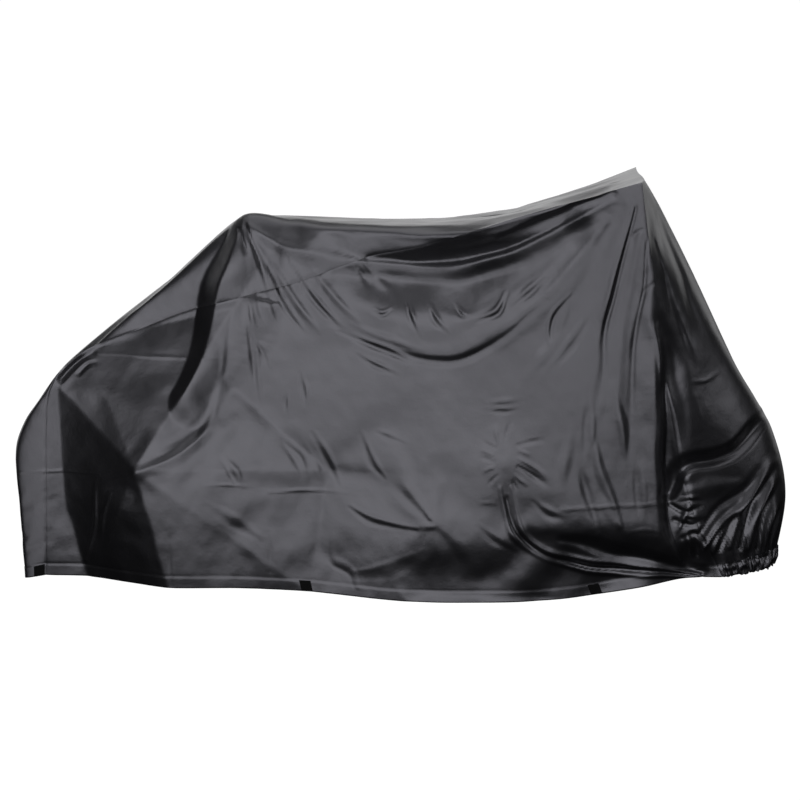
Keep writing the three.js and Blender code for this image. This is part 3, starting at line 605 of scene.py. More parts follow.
# %% Small creases, in millimetres
NEAR_CREASES = [
    # rear corner
    (CREASE, [(-415, -355), (-385, -320), (-345, -295)], -6, 13, 13, 0.9, 0.5),
    (CREASE, [(-375, -340), (-355, -320), (-330, -315)], -4, 9, 9, 0.6, 0.1),
    (CREASE, [(-335, -575), (-340, -665), (-365, -765)], 4, 7, 7, 0.3, 0.8),
    (CREASE, [(-300, -600), (-320, -655), (-330, -725)], 3, 6, 7, 0.3, 0.1),
    (CREASE, [(-165, -685), (-165, -740), (-165, -800)], -2, 6, 7, 0.2, 0.8),
    (RAY, [(-55, -330), (-40, -240), (-30, -175)], 1.9, 22, 26, 0.6, 0),
    # saddle fan
    (RAY, [(-15, -20), (-5, -50), (5, -80)], -4.8, 7, 8, 0.8, 0),
    (TUCK, [(45, -100), (90, -185), (135, -250)], 3.2, 11, 12, 0.6, 0),
    (SWAG, [(65, -100), (120, -185), (170, -250)], 3.6, 10, 12, 0.6, 0),
    (TUCK, [(95, -90), (165, -180), (225, -245)], 3.2, 11, 12, 0.6, 0),
    (TUCK, [(205, -235), (310, -275), (380, -310)], 3.2, 11, 14, 0.2, 0.1),
    (SWAG, [(230, -220), (320, -255), (385, -275)], 3.6, 11, 13, 0.2, 0.1),
    (TUCK, [(245, -285), (290, -310), (335, -330)], 2.8, 10, 12, 0.2, 0.1),
    (TUCK, [(10, -180), (15, -255), (20, -325), (35, -410)], 1.6, 13, 14, 0.4, 0.2),
    (SWAG, [(-5, -180), (0, -285), (10, -395)], 1.8, 16, 18, 0.3, 0.1),
    (RAY, [(260, -85), (295, -130), (340, -165)], 1.9, 12, 14, 0.8, 0),
    (RAY, [(245, -95), (265, -125), (280, -150)], -1.9, 9, 10, 0.7, 0),
    (SWAG, [(0, -145), (15, -200), (30, -250)], 2.3, 9, 10, 0.1, 0.1),
    (SWAG, [(20, -140), (35, -195), (55, -245)], -2.3, 9, 10, 0.1, 0.1),
    (SWAG, [(40, -140), (55, -190), (75, -235)], 2.3, 9, 10, 0.1, 0.1),
    (SWAG, [(135, -90), (205, -170), (265, -235)], 3.6, 11, 13, 0.4, 0),
    # swags
    (SWAG, [(185, -220), (295, -270), (405, -300), (485, -290), (570, -240),
            (655, -160)], -3.6, 13, 18, 0.2, 0.2),
    (SWAG, [(405, -60), (490, -50), (545, -35), (600, -15)], 1.8, 14, 13, 0.2, 0.2),
    (TUCK, [(505, -210), (550, -190), (570, -150)], 4, 13, 12, 0.2, 0.3),
    (TUCK, [(585, -175), (620, -145), (655, -110)], 3.2, 13, 13, 0.2, 0.2),
    (TUCK, [(670, -260), (665, -225), (675, -190), (710, -150)], 2.4, 12, 9, 0.3, 0.3),
    (SWAG, [(685, -240), (695, -200), (705, -165)], 1.8, 12, 12, 0.2, 0.3),
    (TUCK, [(525, -405), (565, -405), (605, -400)], 1.6, 9, 11, 0.2, 0.2),
    (SWAG, [(525, -390), (565, -385), (605, -380)], 1.8, 11, 8, 0.2, 0.2),
    (TUCK, [(660, -320), (710, -260), (755, -185)], 1.6, 18, 18, 0.1, 0.1),
    (SWAG, [(600, -355), (660, -275), (710, -220)], 1.8, 20, 20, 0.1, 0.1),
    (TUCK, [(280, -190), (300, -200), (320, -190)], 2.8, 9, 9, 0.3, 0.3),
    (TUCK, [(355, -175), (365, -205), (385, -245)], 3.6, 11, 12, 0.3, 0.2),
    (TUCK, [(405, -180), (420, -210), (445, -235)], 3.6, 11, 12, 0.3, 0.2),
    (TUCK, [(460, -175), (475, -195), (490, -200)], 2.8, 9, 9, 0.3, 0.3),
    (TUCK, [(15, -255), (35, -280), (50, -320)], 1.6, 10, 11, 0.2, 0.2),
    (TUCK, [(120, -330), (130, -365), (135, -400)], 1.8, 11, 12, 0.2, 0.2),
    # middle
    (TUCK, [(90, -490), (115, -520), (130, -570)], 1.6, 14, 17, 0.3, 0.2),
    (TUCK, [(150, -460), (180, -515), (205, -575)], 2, 15, 18, 0.3, 0.3),
    (SWAG, [(125, -470), (150, -525), (165, -580)], 1.8, 13, 13, 0.1, 0.1),
    (TUCK, [(255, -460), (280, -520), (305, -555)], 2, 14, 17, 0.3, 0.3),
    (TUCK, [(290, -455), (315, -465), (350, -480)], 1.6, 10, 12, 0.3, 0.2),
    (TUCK, [(-90, -615), (-25, -655), (35, -695)], 1.6, 22, 22, 0.1, 0.2),
    (TUCK, [(230, -625), (280, -650), (375, -670)], 2.4, 15, 16, 0.4, 0.3),
    (TUCK, [(185, -690), (190, -745), (230, -770), (240, -800)], 1, 22, 14, 0.1, 0.6),
    (TUCK, [(240, -770), (315, -755), (390, -720)], 1.2, 20, 34, 0.3, 0.3),
    (CREASE, [(50, -680), (55, -725), (55, -765)], -1.5, 7, 8, 0.2, 0.6),
    (TUCK, [(90, -375), (90, -395), (90, -420)], 1.6, 9, 10, 0.2, 0.2),
    (TUCK, [(-50, -515), (-25, -550), (-15, -580)], 2.4, 18, 18, 0.1, 0.1),
    # starburst
    (RAY, [(550, -490), (535, -485), (515, -470)], -2.1, 4, 5, 0.8, 0),
    (RAY, [(545, -505), (530, -500), (510, -490)], 2.1, 4, 5, 0.8, 0),
    (RAY, [(545, -520), (530, -515), (510, -510)], -2.1, 4, 5, 0.8, 0),
    (RAY, [(545, -530), (530, -535), (515, -545)], 2.1, 4, 5, 0.8, 0),
    (RAY, [(555, -545), (540, -560), (530, -575)], -2.1, 4, 6, 0.8, 0),
    (RAY, [(555, -480), (550, -460), (550, -435)], 2.1, 5, 6, 0.7, 0),
    (RAY, [(570, -470), (575, -450), (585, -420)], -2.1, 6, 6, 0.7, 0),
    (RAY, [(595, -485), (625, -475), (665, -465)], -2.1, 6, 7, 0.8, 0),
    (RAY, [(595, -495), (610, -500), (630, -510)], 2.1, 4, 5, 0.8, 0),
    (RAY, [(600, -515), (630, -530), (675, -560)], 2.7, 6, 7, 0.8, 0),
    (RAY, [(595, -530), (630, -550), (670, -575)], -3.2, 7, 7, 0.8, 0.1),
    (RAY, [(590, -545), (605, -560), (630, -575)], 2.1, 4, 5, 0.8, 0),
    (RAY, [(585, -555), (590, -570), (600, -585)], -2.1, 4, 4, 0.8, 0),
    # grip
    (RAY, [(845, 45), (820, -65), (800, -150), (785, -230), (780, -320),
           (765, -405)], -5.7, 8, 11, 0.9, 0.1),
    (RAY, [(870, -30), (865, -120), (855, -205), (845, -280), (845, -395),
           (840, -535)], -4.3, 8, 10, 0.8, 0),
    (RAY, [(840, 45), (810, -75), (785, -180), (765, -275)], 2.8, 12, 14, 0.8, 0),
    # double fold along the wheel
    (SWAG, [(560, -575), (570, -625), (580, -670), (605, -700), (675, -740), (760, -770), (870, -780),
            (1005, -785)], 5.4, 9, 12, 0.4, 0.6),
    (SWAG, [(575, -600), (585, -650), (605, -690), (640, -720), (680, -740), (760, -760), (890, -770),
            (1010, -785)], -7.2, 9, 9, 0.4, 0.6),
    (SWAG, [(585, -575), (600, -650), (620, -690), (660, -720), (735, -740), (865, -760),
            (1005, -780)], 5.4, 11, 9, 0.3, 0.6),
    # lower right
    (SWAG, [(770, -565), (795, -630), (840, -680)], 1.8, 15, 16, 0.1, 0.4),
    (TUCK, [(515, -660), (550, -690), (595, -720)], 1.6, 18, 16, 0.2, 0.2),
    (TUCK, [(635, -605), (665, -630), (695, -640)], 1.6, 16, 16, 0.2, 0.2),
    (SWAG, [(810, -370), (825, -445), (835, -535)], 3.6, 14, 16, 0.1, 0.1),
    (SWAG, [(760, -460), (785, -555), (825, -660)], 5.4, 16, 18, 0.1, 0.3),
    (SWAG, [(735, -520), (750, -590), (775, -670)], -4.5, 16, 16, 0.1, 0.2),
    (SWAG, [(715, -445), (700, -515), (695, -585)], 3.6, 20, 20, 0.1, 0.1),
    (TUCK, [(755, -380), (750, -445), (745, -520)], 1.6, 18, 18, 0.1, 0.1),
    (TUCK, [(865, -500), (865, -580), (870, -670)], 1.6, 18, 18, 0.1, 0.1),
    (RAY, [(860, -5), (840, -20), (835, -50)], -2.8, 9, 10, 0.9, 0.1),
    (RAY, [(885, -120), (870, -135), (860, -170)], -2.4, 9, 10, 0.9, 0.1),
    (CREASE, [(935, -620), (965, -635), (1000, -625)], -7, 8, 8, 0.6, 0.4),
    (CREASE, [(945, -655), (980, -665), (1010, -655)], -7, 9, 8, 0.6, 0.4),
    (CREASE, [(960, -695), (990, -685), (1015, -705)], -7, 8, 8, 0.5, 0.5),
    (RAY, [(950, -680), (965, -645), (980, -605)], 7, 9, 10, 0.6, 0.2),
    (TUCK, [(950, -610), (980, -605), (1005, -610)], 3.5, 9, 10, 0.3, 0.3),
    (TUCK, [(960, -640), (985, -650), (1005, -645)], 3, 9, 9, 0.3, 0.3),
    # gathers
    (RAY, [(1010, -720), (1055, -660), (1100, -630), (1145, -580), (1185, -525)], 10, 15, 14, 0.8, 0.2),
    (RAY, [(1000, -685), (1040, -630), (1100, -595), (1135, -555)], -9, 13, 13, 0.8, 0.2),
    (RAY, [(1095, -725), (1115, -655), (1135, -605), (1170, -560)], -14, 13, 13, 0.9, 0.3),
    (RAY, [(1070, -720), (1090, -655), (1120, -605), (1165, -540)], 9, 12, 12, 0.9, 0.2),
    (RAY, [(1115, -730), (1130, -660), (1160, -605), (1190, -545)], 10, 12, 12, 0.9, 0.2),
    (RAY, [(1135, -735), (1150, -650), (1180, -590)], -10, 10, 10, 0.9, 0.1),
    (RAY, [(1150, -745), (1165, -675), (1195, -610)], 9, 10, 10, 0.9, 0.1),
    (RAY, [(1165, -745), (1180, -680), (1195, -625)], -8, 9, 9, 0.9, 0.1),
    (RAY, [(1045, -725), (1060, -685), (1085, -645)], -9, 10, 10, 0.9, 0.1),
    (RAY, [(1030, -730), (1045, -695), (1075, -665)], 7, 9, 9, 0.9, 0.1),
    (RAY, [(985, -735), (975, -700), (965, -670)], 5, 9, 9, 0.8, 0),
    (RAY, [(1000, -740), (990, -710), (980, -675)], -5, 8, 8, 0.8, 0),
    # lines of the folded pack
    (CREASE, [(-510, -565), (-375, -560), (-235, -550)], 1, 5, 5, 0.6, 0.2),
    (CREASE, [(-345, -295), (-195, -300), (-25, -300)], 1.6, 5, 5, 0.3, 0.2),
    (CREASE, [(-90, -575), (-40, -575), (5, -580)], 1.6, 5, 5, 0.3, 0.3),
    (CREASE, [(50, -590), (130, -590), (225, -595)], 1.8, 5, 5, 0.6, 0.3),
    (CREASE, [(515, -610), (530, -610), (550, -610)], 1.5, 5, 5, 0.3, 0.3),
    (CREASE, [(690, -625), (775, -620), (900, -615)], 1.8, 5, 5, 0.5, 0.5),
    (CREASE, [(845, -675), (875, -670), (910, -675)], 1.5, 4, 5, 0.3, 0.3),
    (CREASE, [(980, -345), (1010, -345), (1040, -330)], 2, 5, 6, 0.4, 0.4),
    (CREASE, [(985, -375), (1000, -435), (1000, -475)], 2, 5, 6, 0.4, 0.4),
]
FAR_CREASES = [
    (SWAG, [(150, -250), (220, -330), (260, -420)], -5, 14, 17, 0.3, 0.2),
    (SWAG, [(330, -360), (400, -430), (430, -520)], 5, 15, 18, 0.3, 0.2),
    (SWAG, [(560, -260), (620, -360), (640, -480)], -5, 16, 18, 0.2, 0.2),
    (SWAG, [(-60, -420), (0, -520), (20, -620)], -5, 18, 18, 0.2, 0.2),
    (SWAG, [(680, -430), (720, -540), (730, -640)], 4, 16, 18, 0.1, 0.2),
    (CREASE, [(-420, -590), (0, -600), (430, -596), (860, -590)], 1.6, 5, 5, 0.5, 0.5),
    (CREASE, [(-280, -310), (-130, -322), (40, -320)], 1.6, 5, 5, 0.3, 0.2),
]
cloth = raised(cloth, heights_of(([], [], NEAR_CREASES), ([], [], FAR_CREASES)))

# %% [markdown]
# Sewn edges. The hem is turned in and stitched, so its band stands a little proud, with a groove along the
# stitches. Each seam is a groove too, and the thread draws the cloth into small puckers on both sides of it.
# The front hem is a channel over an elastic, which gathers the cloth into ruffles that die out upwards.

# %% Hem, seams and elastic
BAND_LIFT, STITCH_GROOVE, SEAM_GROOVE, GROOVE_WIDTH = 0.8, 0.7, 1.2, 2.5
PUCKER, PUCKER_REACH, PUCKER_MEAN, PUCKER_VARY = 1.2, 26, 0.6, 0.6
PUCKER_START, PUCKER_FULL = 0.35, 16
UPRIGHT_SHARE, TOP_SHARE, SIDE_TOP_SHARE = 0.2, 0.3, 0.45
RUFFLE, RUFFLE_REACH, RUFFLE_LEAN, CHANNEL, CORD = 6, 90, 0.15, 24, 2.5
PLAIN_SHARE, FADE_SHARE = 0.02, 0.08
CRINKLE = 0.3
pucker_wave, pucker_share = slow_noise(34, 16, 9), slow_noise(420, 160, 5)
ruffle_wave, channel_wave = slow_noise(52, 24, 8), slow_noise(22, 15, 8)
crinkle_wave = slow_noise(80, 26, 16)


def from_edge(places, axis, end):
    """How far each point of a grid lies from its first or last row or column, along the cloth."""
    if end:
        return np.flip(from_edge(np.flip(places, axis), axis, False), axis)
    steps = np.linalg.norm(np.diff(places, axis=axis), axis=2)
    return np.concatenate([np.zeros_like(np.take(steps, [0], axis)), np.cumsum(steps, axis=axis)], axis=axis)


def seam_relief(distance, run, drawn):
    """Groove and puckers beside a seam, from the distance to it, the way along it and how drawn it is."""
    strength = PUCKER * drawn * (PUCKER_MEAN + PUCKER_VARY * pucker_share(run, 0 * run))
    fading = np.exp(-distance / PUCKER_REACH) * smooth(PUCKER_START + distance / PUCKER_FULL)
    groove = SEAM_GROOVE * np.exp(-(distance / GROOVE_WIDTH) ** 2)
    return strength * pucker_wave(run, 0 * run) * fading - groove


def hem_relief(distance):
    band = BAND_LIFT * smooth((HEM_BAND + 1 - distance) / 2)
    return band - STITCH_GROOVE * np.exp(-((distance - HEM_BAND) / GROOVE_WIDTH) ** 2)


def sewn_side(places, run):
    """Relief of a side panel along its hem and its three seams. run is the way along the seam."""
    rows, cols = places.shape[:2]
    rear, top = run[:rows, None], run[None, rows - 1:rows + cols - 1]
    front = run[rows + cols - 2:][::-1, None]
    height = hem_relief(from_edge(places, 0, False))
    height = height + seam_relief(from_edge(places, 1, False), rear, UPRIGHT_SHARE)
    height = height + seam_relief(from_edge(places, 0, True), top, SIDE_TOP_SHARE)
    return height + seam_relief(from_edge(places, 1, True), front, UPRIGHT_SHARE)


def sewn_centre(places, run):
    """Relief of the centre panel along its two hems and its two seams, with the gathers of the elastic."""
    rear, front = from_edge(places, 0, False), from_edge(places, 0, True)
    across = from_edge(places, 1, False)
    height = hem_relief(rear) + hem_relief(front)
    rows = len(flat["near"])
    drawn = np.full((len(run), 1), UPRIGHT_SHARE)
    drawn[rows:-rows] = TOP_SHARE
    for end in (False, True):
        height = height + seam_relief(from_edge(places, 1, end), run[:, None], drawn)
    width = across[-1:, :]
    dying = np.exp(-np.maximum(front - CHANNEL, 0) / RUFFLE_REACH)
    gather = RUFFLE * ruffle_wave(width + 0 * across, RUFFLE_LEAN * front) * dying
    share = across / across[:, -1:]
    near_edge = np.minimum(share, 1 - share)
    inner = smooth((near_edge - PLAIN_SHARE) / FADE_SHARE)
    cord = CORD * channel_wave(width + 0 * across, 0 * front) * smooth((2 * CHANNEL - front) / CHANNEL)
    return height + (gather + cord) * inner


run = from_edge(cloth["centre"][:, :1], 0, False)[:, 0]
sewn = {"near": sewn_side(cloth["near"], run), "far": sewn_side(cloth["far"], run),
        "centre": sewn_centre(cloth["centre"], run)}
crinkled = {name: height + CRINKLE * crinkle_wave(flat[name][..., 0], flat[name][..., 2])
            for name, height in sewn.items()}
cloth = raised(cloth, crinkled)

# %% [markdown]
# A sheet starts as a flat cut, which bmesh makes as a grid, and its points then go to the places above. Its
# hem is turned in: a few more rows go round the edge and back up behind the band.


# %% Cut the cloth
def cut_size(places):
    """Longest row and longest column of a grid, in metres."""
    return [from_edge(places, axis, False).max() * MM for axis in (1, 0)]


def cut_cloth(name, places, turned):
    work = bmesh.new()
    work.loops.layers.uv.new("flat_cut")
    lay_grid(work, places)
    if turned:
        bmesh.ops.reverse_faces(work, faces=work.faces)
    mesh = mesh_of(work, name)
    weave = mesh.uv_layers["flat_cut"].uv
    shares = np.empty(2 * len(weave), np.float32)
    weave.foreach_get("vector", shares)
    weave.foreach_set("vector", (shares.reshape(-1, 2) * cut_size(places)).astype(np.float32).ravel())
    for face in mesh.polygons:
        face.use_smooth = True
    return placed(name, mesh)


TURN_IN = 1.6


def with_hem(places, outward):
    """Adds the turned-in rows before the first row of a grid."""
    inner = places[HEM_STEPS - 1:0:-2] - TURN_IN * outward[HEM_STEPS - 1:0:-2]
    return np.concatenate([inner, places])


hemmed = {name: with_hem(cloth[name], out[name]) for name in ("near", "far")}
rear_hemmed = with_hem(cloth["centre"], out["centre"])
rear_out = np.concatenate([out["centre"][HEM_STEPS - 1:0:-2], out["centre"]])
hemmed["centre"] = with_hem(rear_hemmed[::-1], rear_out[::-1])[::-1]
side_near = cut_cloth("cloth_side_near", hemmed["near"], False)
side_far = cut_cloth("cloth_side_far", hemmed["far"], True)
middle = cut_cloth("cloth_centre", hemmed["centre"], True)
SHEETS = {"side_panel_near": side_near, "side_panel_far": side_far, "centre_panel": middle}

# %% [markdown]
# Six tabs of ribbed webbing are sewn on the hem: a pair beside the rear seams, a pair in the middle and a
# pair before the front gathers. A tab follows the cloth under it, so it is a small grid laid out over the
# cloth's own places, a little outside of them.

# %% Sew on the tabs
TAB_WIDTH, TAB_HEIGHT, TAB_EDGE = 25, 22, 2.5
TAB_LIFT, TAB_THICKNESS, TAB_STEPS = 0.5, 1.4, 12
TAB_PLACES = {"middle": 132, "front": 772}
REAR_TAB_INSET = 3


def runs_along(line):
    return np.concatenate([[0], np.cumsum(np.linalg.norm(np.diff(line, axis=0), axis=1))])


def numbers(line, first, size):
    """Numbers, with fractions, of the points of a line that lie evenly over a stretch of it."""
    wanted = np.linspace(first, first + size, TAB_STEPS + 1)
    return np.interp(wanted, runs_along(line), np.arange(len(line)))


def between(grid, rows, columns):
    row, column = np.meshgrid(rows, columns, indexing="ij")
    r = np.minimum(row.astype(int), grid.shape[0] - 2)
    c = np.minimum(column.astype(int), grid.shape[1] - 2)
    a, b = (row - r)[..., None], (column - c)[..., None]
    low = grid[r, c] * (1 - b) + grid[r, c + 1] * b
    high = grid[r + 1, c] * (1 - b) + grid[r + 1, c + 1] * b
    return low * (1 - a) + high * a


def sew_tab(name, grid, columns, turned):
    middle_column = int(columns[TAB_STEPS // 2])
    rows = numbers(grid[:, middle_column], TAB_EDGE, TAB_HEIGHT)
    seat = between(grid, rows, columns)
    outward = grid_normals(seat) * (-1 if turned else 1)
    piece = cut_cloth(name, seat + TAB_LIFT * outward, turned)
    thick = piece.modifiers.new("webbing thickness", "SOLIDIFY")
    thick.thickness = TAB_THICKNESS * MM
    thick.offset = 1
    return piece


TABS = {}
for side, turned in (("near", False), ("far", True)):
    hem_line = cloth[side][HEM_STEPS // 2]
    for name, x in TAB_PLACES.items():
        start = np.interp(x, hem_line[:, 0], runs_along(hem_line)) - TAB_WIDTH / 2
        TABS[f"tab_{name}_{side}"] = sew_tab(f"webbing_{name}_{side}", cloth[side],
                                             numbers(hem_line, start, TAB_WIDTH), turned)
    rear_grid = cloth["centre"] if side == "near" else cloth["centre"][:, ::-1]
    rear_columns = numbers(rear_grid[HEM_STEPS // 2], REAR_TAB_INSET, TAB_WIDTH)
    TABS[f"tab_rear_{side}"] = sew_tab(f"webbing_rear_{side}", rear_grid, rear_columns, not turned)

# %% [markdown]
# The front hem of the centre panel is a channel with an elastic cord in it. The cord draws the channel into
# small pillows with sharp gaps between them, much finer than the gathers above, so the channel is a strip of
# its own with a finer grid, laid over the hem of the panel. A wave without its sign gives such pillows, and
# two of them with a slow drift give pillows of uneven width.

# %% Gather the elastic channel
CHANNEL_HEIGHT, CHANNEL_CLEAR, CHANNEL_LIFT, CHANNEL_STEPS, CHANNEL_ROWS = 42, 1, 1.5, 480, 20
PILLOWS = [(15.0, 7.0), (9.0, 3.0)]  # width and height
PILLOW_MEAN, PILLOW_VARY, EDGE_FULLNESS = 0.6, 0.6, 0.3
LEAN, DRIFT, CRUMPLE, SAG, END_FADE = 12, 9, 2.2, 2, 14


def along_wave(wave, along):
    return wave(along, 0 * along)[None]


def pillow_height(along, rise):
    lean = LEAN * along_wave(ruffle_wave, along) * (rise - 0.5)
    drift = lean + DRIFT * along_wave(pucker_wave, 0.5 * along)
    pillows = sum(size * (np.abs(np.sin(math.pi * (along[None] + drift) / length)) - PILLOW_MEAN)
                  for length, size in PILLOWS)
    uneven = 1 + PILLOW_VARY * along_wave(ruffle_wave, 0.6 * along + 300)
    crumple = channel_wave(along[None] + 0 * rise, 0.8 * CHANNEL_HEIGHT * rise + 0 * along[None])
    return pillows * uneven + CRUMPLE * crumple


def channel_places():
    """The strip's places, from the front hem upwards, in pillows that lean and close unevenly."""
    edge = cloth["centre"][::-1]
    width = from_edge(edge[:1], 1, False)[0]
    along = np.linspace(0, width[-1], CHANNEL_STEPS + 1)
    across = np.interp(along, width, np.arange(len(width)))
    up = from_edge(edge, 0, False)[:, edge.shape[1] // 2]
    rows = np.interp(np.linspace(0, CHANNEL_HEIGHT, CHANNEL_ROWS + 1), up, np.arange(len(edge)))
    seat = between(edge, rows, across)
    rise = np.linspace(0, 1, CHANNEL_ROWS + 1)[:, None]
    ends = smooth(along / END_FADE) * smooth((width[-1] - along) / END_FADE)
    full = EDGE_FULLNESS + (1 - EDGE_FULLNESS) * np.sin(math.pi * (0.15 + 0.8 * rise))
    clear = CHANNEL_LIFT * np.sin(math.pi * rise) + CHANNEL_CLEAR
    stands = clear + pillow_height(along, rise) * full * ends
    sag = SAG * along_wave(ruffle_wave, 3 * along) * (1 - rise)
    return seat + grid_normals(seat) * stands[..., None] + sag[..., None] * (0, 0, 1)


channel = cut_cloth("cloth_channel", channel_places(), False)

# %% [markdown]
# Materials start the same way: a shader, the coordinates of the flat cut in metres, which the weave follows,
# and the place on the object, for what varies over the whole cover. Colours are given as they look on a
# screen and are made linear once, here.


# %% Materials
def linear(code):
    channels = [int(code[k:k + 2], 16) / 255 for k in (1, 3, 5)]
    return [c / 12.92 if c <= 0.04045 else ((c + 0.055) / 1.055) ** 2.4 for c in channels] + [1.0]


def add(material, kind, settings, links):
    """Adds a node to a material, with settings by socket or property name, and links from other sockets."""
    node = material.node_tree.nodes.new(kind)
    for name, value in settings.items():
        if name in node.inputs:
            node.inputs[name].default_value = value
        else:
            setattr(node, name, value)
    for name, source in links.items():
        material.node_tree.links.new(source, node.inputs[name])
    return node


def cloth_material(name, specular):
    """A material, its shader, the coordinates of its cut in metres, and its place on the object."""
    material = bpy.data.materials.new(name)
    material.use_nodes = True
    shader = material.node_tree.nodes["Principled BSDF"]
    shader.inputs["Specular IOR Level"].default_value = specular
    place = add(material, "ShaderNodeTexCoord", {}, {}).outputs["Object"]
    cut = add(material, "ShaderNodeUVMap", {"uv_map": "flat_cut"}, {}).outputs["UV"]
    return material, shader, cut, place


def join(material, source, socket):
    material.node_tree.links.new(source, socket)


def base_colour_between(material, shader, share, dark, light):
    """Colour between two tones, by a share from 0 to 1."""
    mix = add(material, "ShaderNodeMix", {"data_type": "RGBA"}, {"Factor": share})
    mix.inputs[6].default_value, mix.inputs[7].default_value = linear(dark), linear(light)
    join(material, mix.outputs[2], shader.inputs["Base Color"])


def threads(material, cut, pitch, direction):
    """Threads side by side, as a wave across one direction of the cut."""
    settings = {"Scale": math.tau / (20 * pitch), "bands_direction": direction}
    return add(material, "ShaderNodeTexWave", settings, {"Vector": cut}).outputs["Fac"]


# %% [markdown]
# Coated polyester taffeta is thin, tightly woven and has a film on it, so it shines like satin. Its black
# stays near black, and most of what is seen is the studio's light on its folds. The weave is only a faint
# grain at this distance, and small lumps in the film make the shine uneven. The film shines a little bluish.

# %% Taffeta
THREAD, PATCH, LUMP = 0.0006, 0.09, 0.022  # metres
taffeta, shader, cut, place = cloth_material("coated_polyester_taffeta", 0.66)
shader.inputs["Specular Tint"].default_value = linear("#f5f4ff")
patches = add(taffeta, "ShaderNodeTexNoise", {"Scale": 1 / PATCH, "Detail": 3.0},
              {"Vector": place}).outputs["Fac"]
base_colour_between(taffeta, shader, patches, "#050506", "#080809")
gloss = add(taffeta, "ShaderNodeMapRange", {"From Min": 0.3, "From Max": 0.7, "To Min": 0.35, "To Max": 0.4},
            {"Value": patches})
join(taffeta, gloss.outputs["Result"], shader.inputs["Roughness"])
weave = add(taffeta, "ShaderNodeMath", {"operation": "MULTIPLY"}, {})
join(taffeta, threads(taffeta, cut, THREAD, "X"), weave.inputs[0])
join(taffeta, threads(taffeta, cut, THREAD, "Y"), weave.inputs[1])
cloth_grain = add(taffeta, "ShaderNodeBump", {"Strength": 0.08, "Distance": 0.00005},
                  {"Height": weave.outputs[0]})
crinkles = add(taffeta, "ShaderNodeTexNoise", {"Scale": 1 / LUMP, "Detail": 4.0, "Roughness": 0.55},
               {"Vector": place})
lumps = add(taffeta, "ShaderNodeBump", {"Strength": 0.6, "Distance": 0.001},
            {"Height": crinkles.outputs["Fac"], "Normal": cloth_grain.outputs["Normal"]})
join(taffeta, lumps.outputs["Normal"], shader.inputs["Normal"])

# %% [markdown]
# The tabs are polypropylene webbing, a coarse ribbed weave without shine. The ribs run across the tab as
# relief from a wave along the cut, and the same wave darkens the colour in the gaps between the ribs, as
# painted shade.

# %% Webbing
RIB = 0.0022  # metres
webbing, shader, cut, place = cloth_material("woven_polypropylene_webbing", 0.06)
shader.inputs["Roughness"].default_value = 0.8
ribs_and_gap_shade = threads(webbing, cut, RIB, "Y")
# painted shade: the base colour is darker in the gaps between the ribs, where the rib wave is low
base_colour_between(webbing, shader, ribs_and_gap_shade, "#020202", "#0c0c0d")
rib_relief = add(webbing, "ShaderNodeBump", {"Strength": 0.6, "Distance": 0.0004}, {"Height": ribs_and_gap_shade})
join(webbing, rib_relief.outputs["Normal"], shader.inputs["Normal"])

# %% [markdown]
# Each piece takes the place of the solid of the same part, and the size of the flat cloth each sheet was cut
# from is worked out. That is the size of its unfolded panel plus the spare length that went into
# folds, gathers and turned hems.

FULLNESS = 1.05


def dress(piece, node, material):
    piece.data.materials.append(material)
    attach(piece, "root")
    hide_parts(node)


for node, piece in TABS.items():
    dress(piece, node, webbing)
dress(channel, "centre_panel", taffeta)
for node, piece in SHEETS.items():
    dress(piece, node, taffeta)
SEWN_ON = {
    "near": (side_near, ["centre_panel"], [TABS["tab_middle_near"], TABS["tab_front_near"]]),
    "far": (side_far, ["centre_panel"], [TABS["tab_middle_far"], TABS["tab_front_far"]]),
    "centre": (middle, [], [TABS["tab_rear_near"], TABS["tab_rear_far"], channel]),
}
for name, (piece, hangs_from, sewn_on) in SEWN_ON.items():
    width, length = (size * FULLNESS for size in cut_size(flat[name]))

# %% [markdown]
# The camera looks from the side, a little from above and from far away, as for a shop's picture. Its lens
# follows from how many millimetres one pixel of the picture covers.

# %% Camera
TARGET = Vector((0.3394, 0.0, -0.4099))
ELEVATION = math.radians(7.5)
DISTANCE = 7.0
MM_PER_PIXEL, PICTURE_WIDTH, SENSOR = 2.25, 800, 36
camera_data = bpy.data.cameras.new("camera")
camera_data.sensor_width = SENSOR
camera_data.lens = SENSOR / PICTURE_WIDTH * DISTANCE / (MM_PER_PIXEL * MM)
camera_data.clip_end = 200
camera = placed("camera", camera_data)
back = Vector((0, -math.cos(ELEVATION), math.sin(ELEVATION)))
camera.location = TARGET + back * DISTANCE
camera.rotation_euler = (-back).to_track_quat("-Z", "Y").to_euler()
bpy.context.scene.camera = camera
bpy.context.scene.view_settings.view_transform = "Standard"

# %% [markdown]
# Floor and surroundings are plain white, as paper is when it is lit apart from the object. The cloth doesn't
# see them: in a studio, black cloth is shaped by a few soft lamps, and the rest of the room is kept dark.

# %% Floor and surroundings
GROUND, FLOOR_RADIUS = -0.942, 60  # metres
PAPER_WHITE, DARK_ROOM = 1.02, 0.004
work = bmesh.new()
bmesh.ops.create_circle(work, cap_ends=True, segments=64, radius=FLOOR_RADIUS)
floor_mesh = mesh_of(work, "floor")
floor_mesh.transform(Matrix.Translation((0.3, 0, GROUND)))
floor = placed("floor", floor_mesh)
pale = bpy.data.materials.new("pale_floor")
pale.use_nodes = True
paper = {"Base Color": linear("#404040"), "Specular IOR Level": 0, "Emission Color": (1, 1, 1, 1),
         "Emission Strength": PAPER_WHITE}
for socket, value in paper.items():
    pale.node_tree.nodes["Principled BSDF"].inputs[socket].default_value = value
floor.data.materials.append(pale)
floor.visible_glossy = floor.visible_diffuse = False

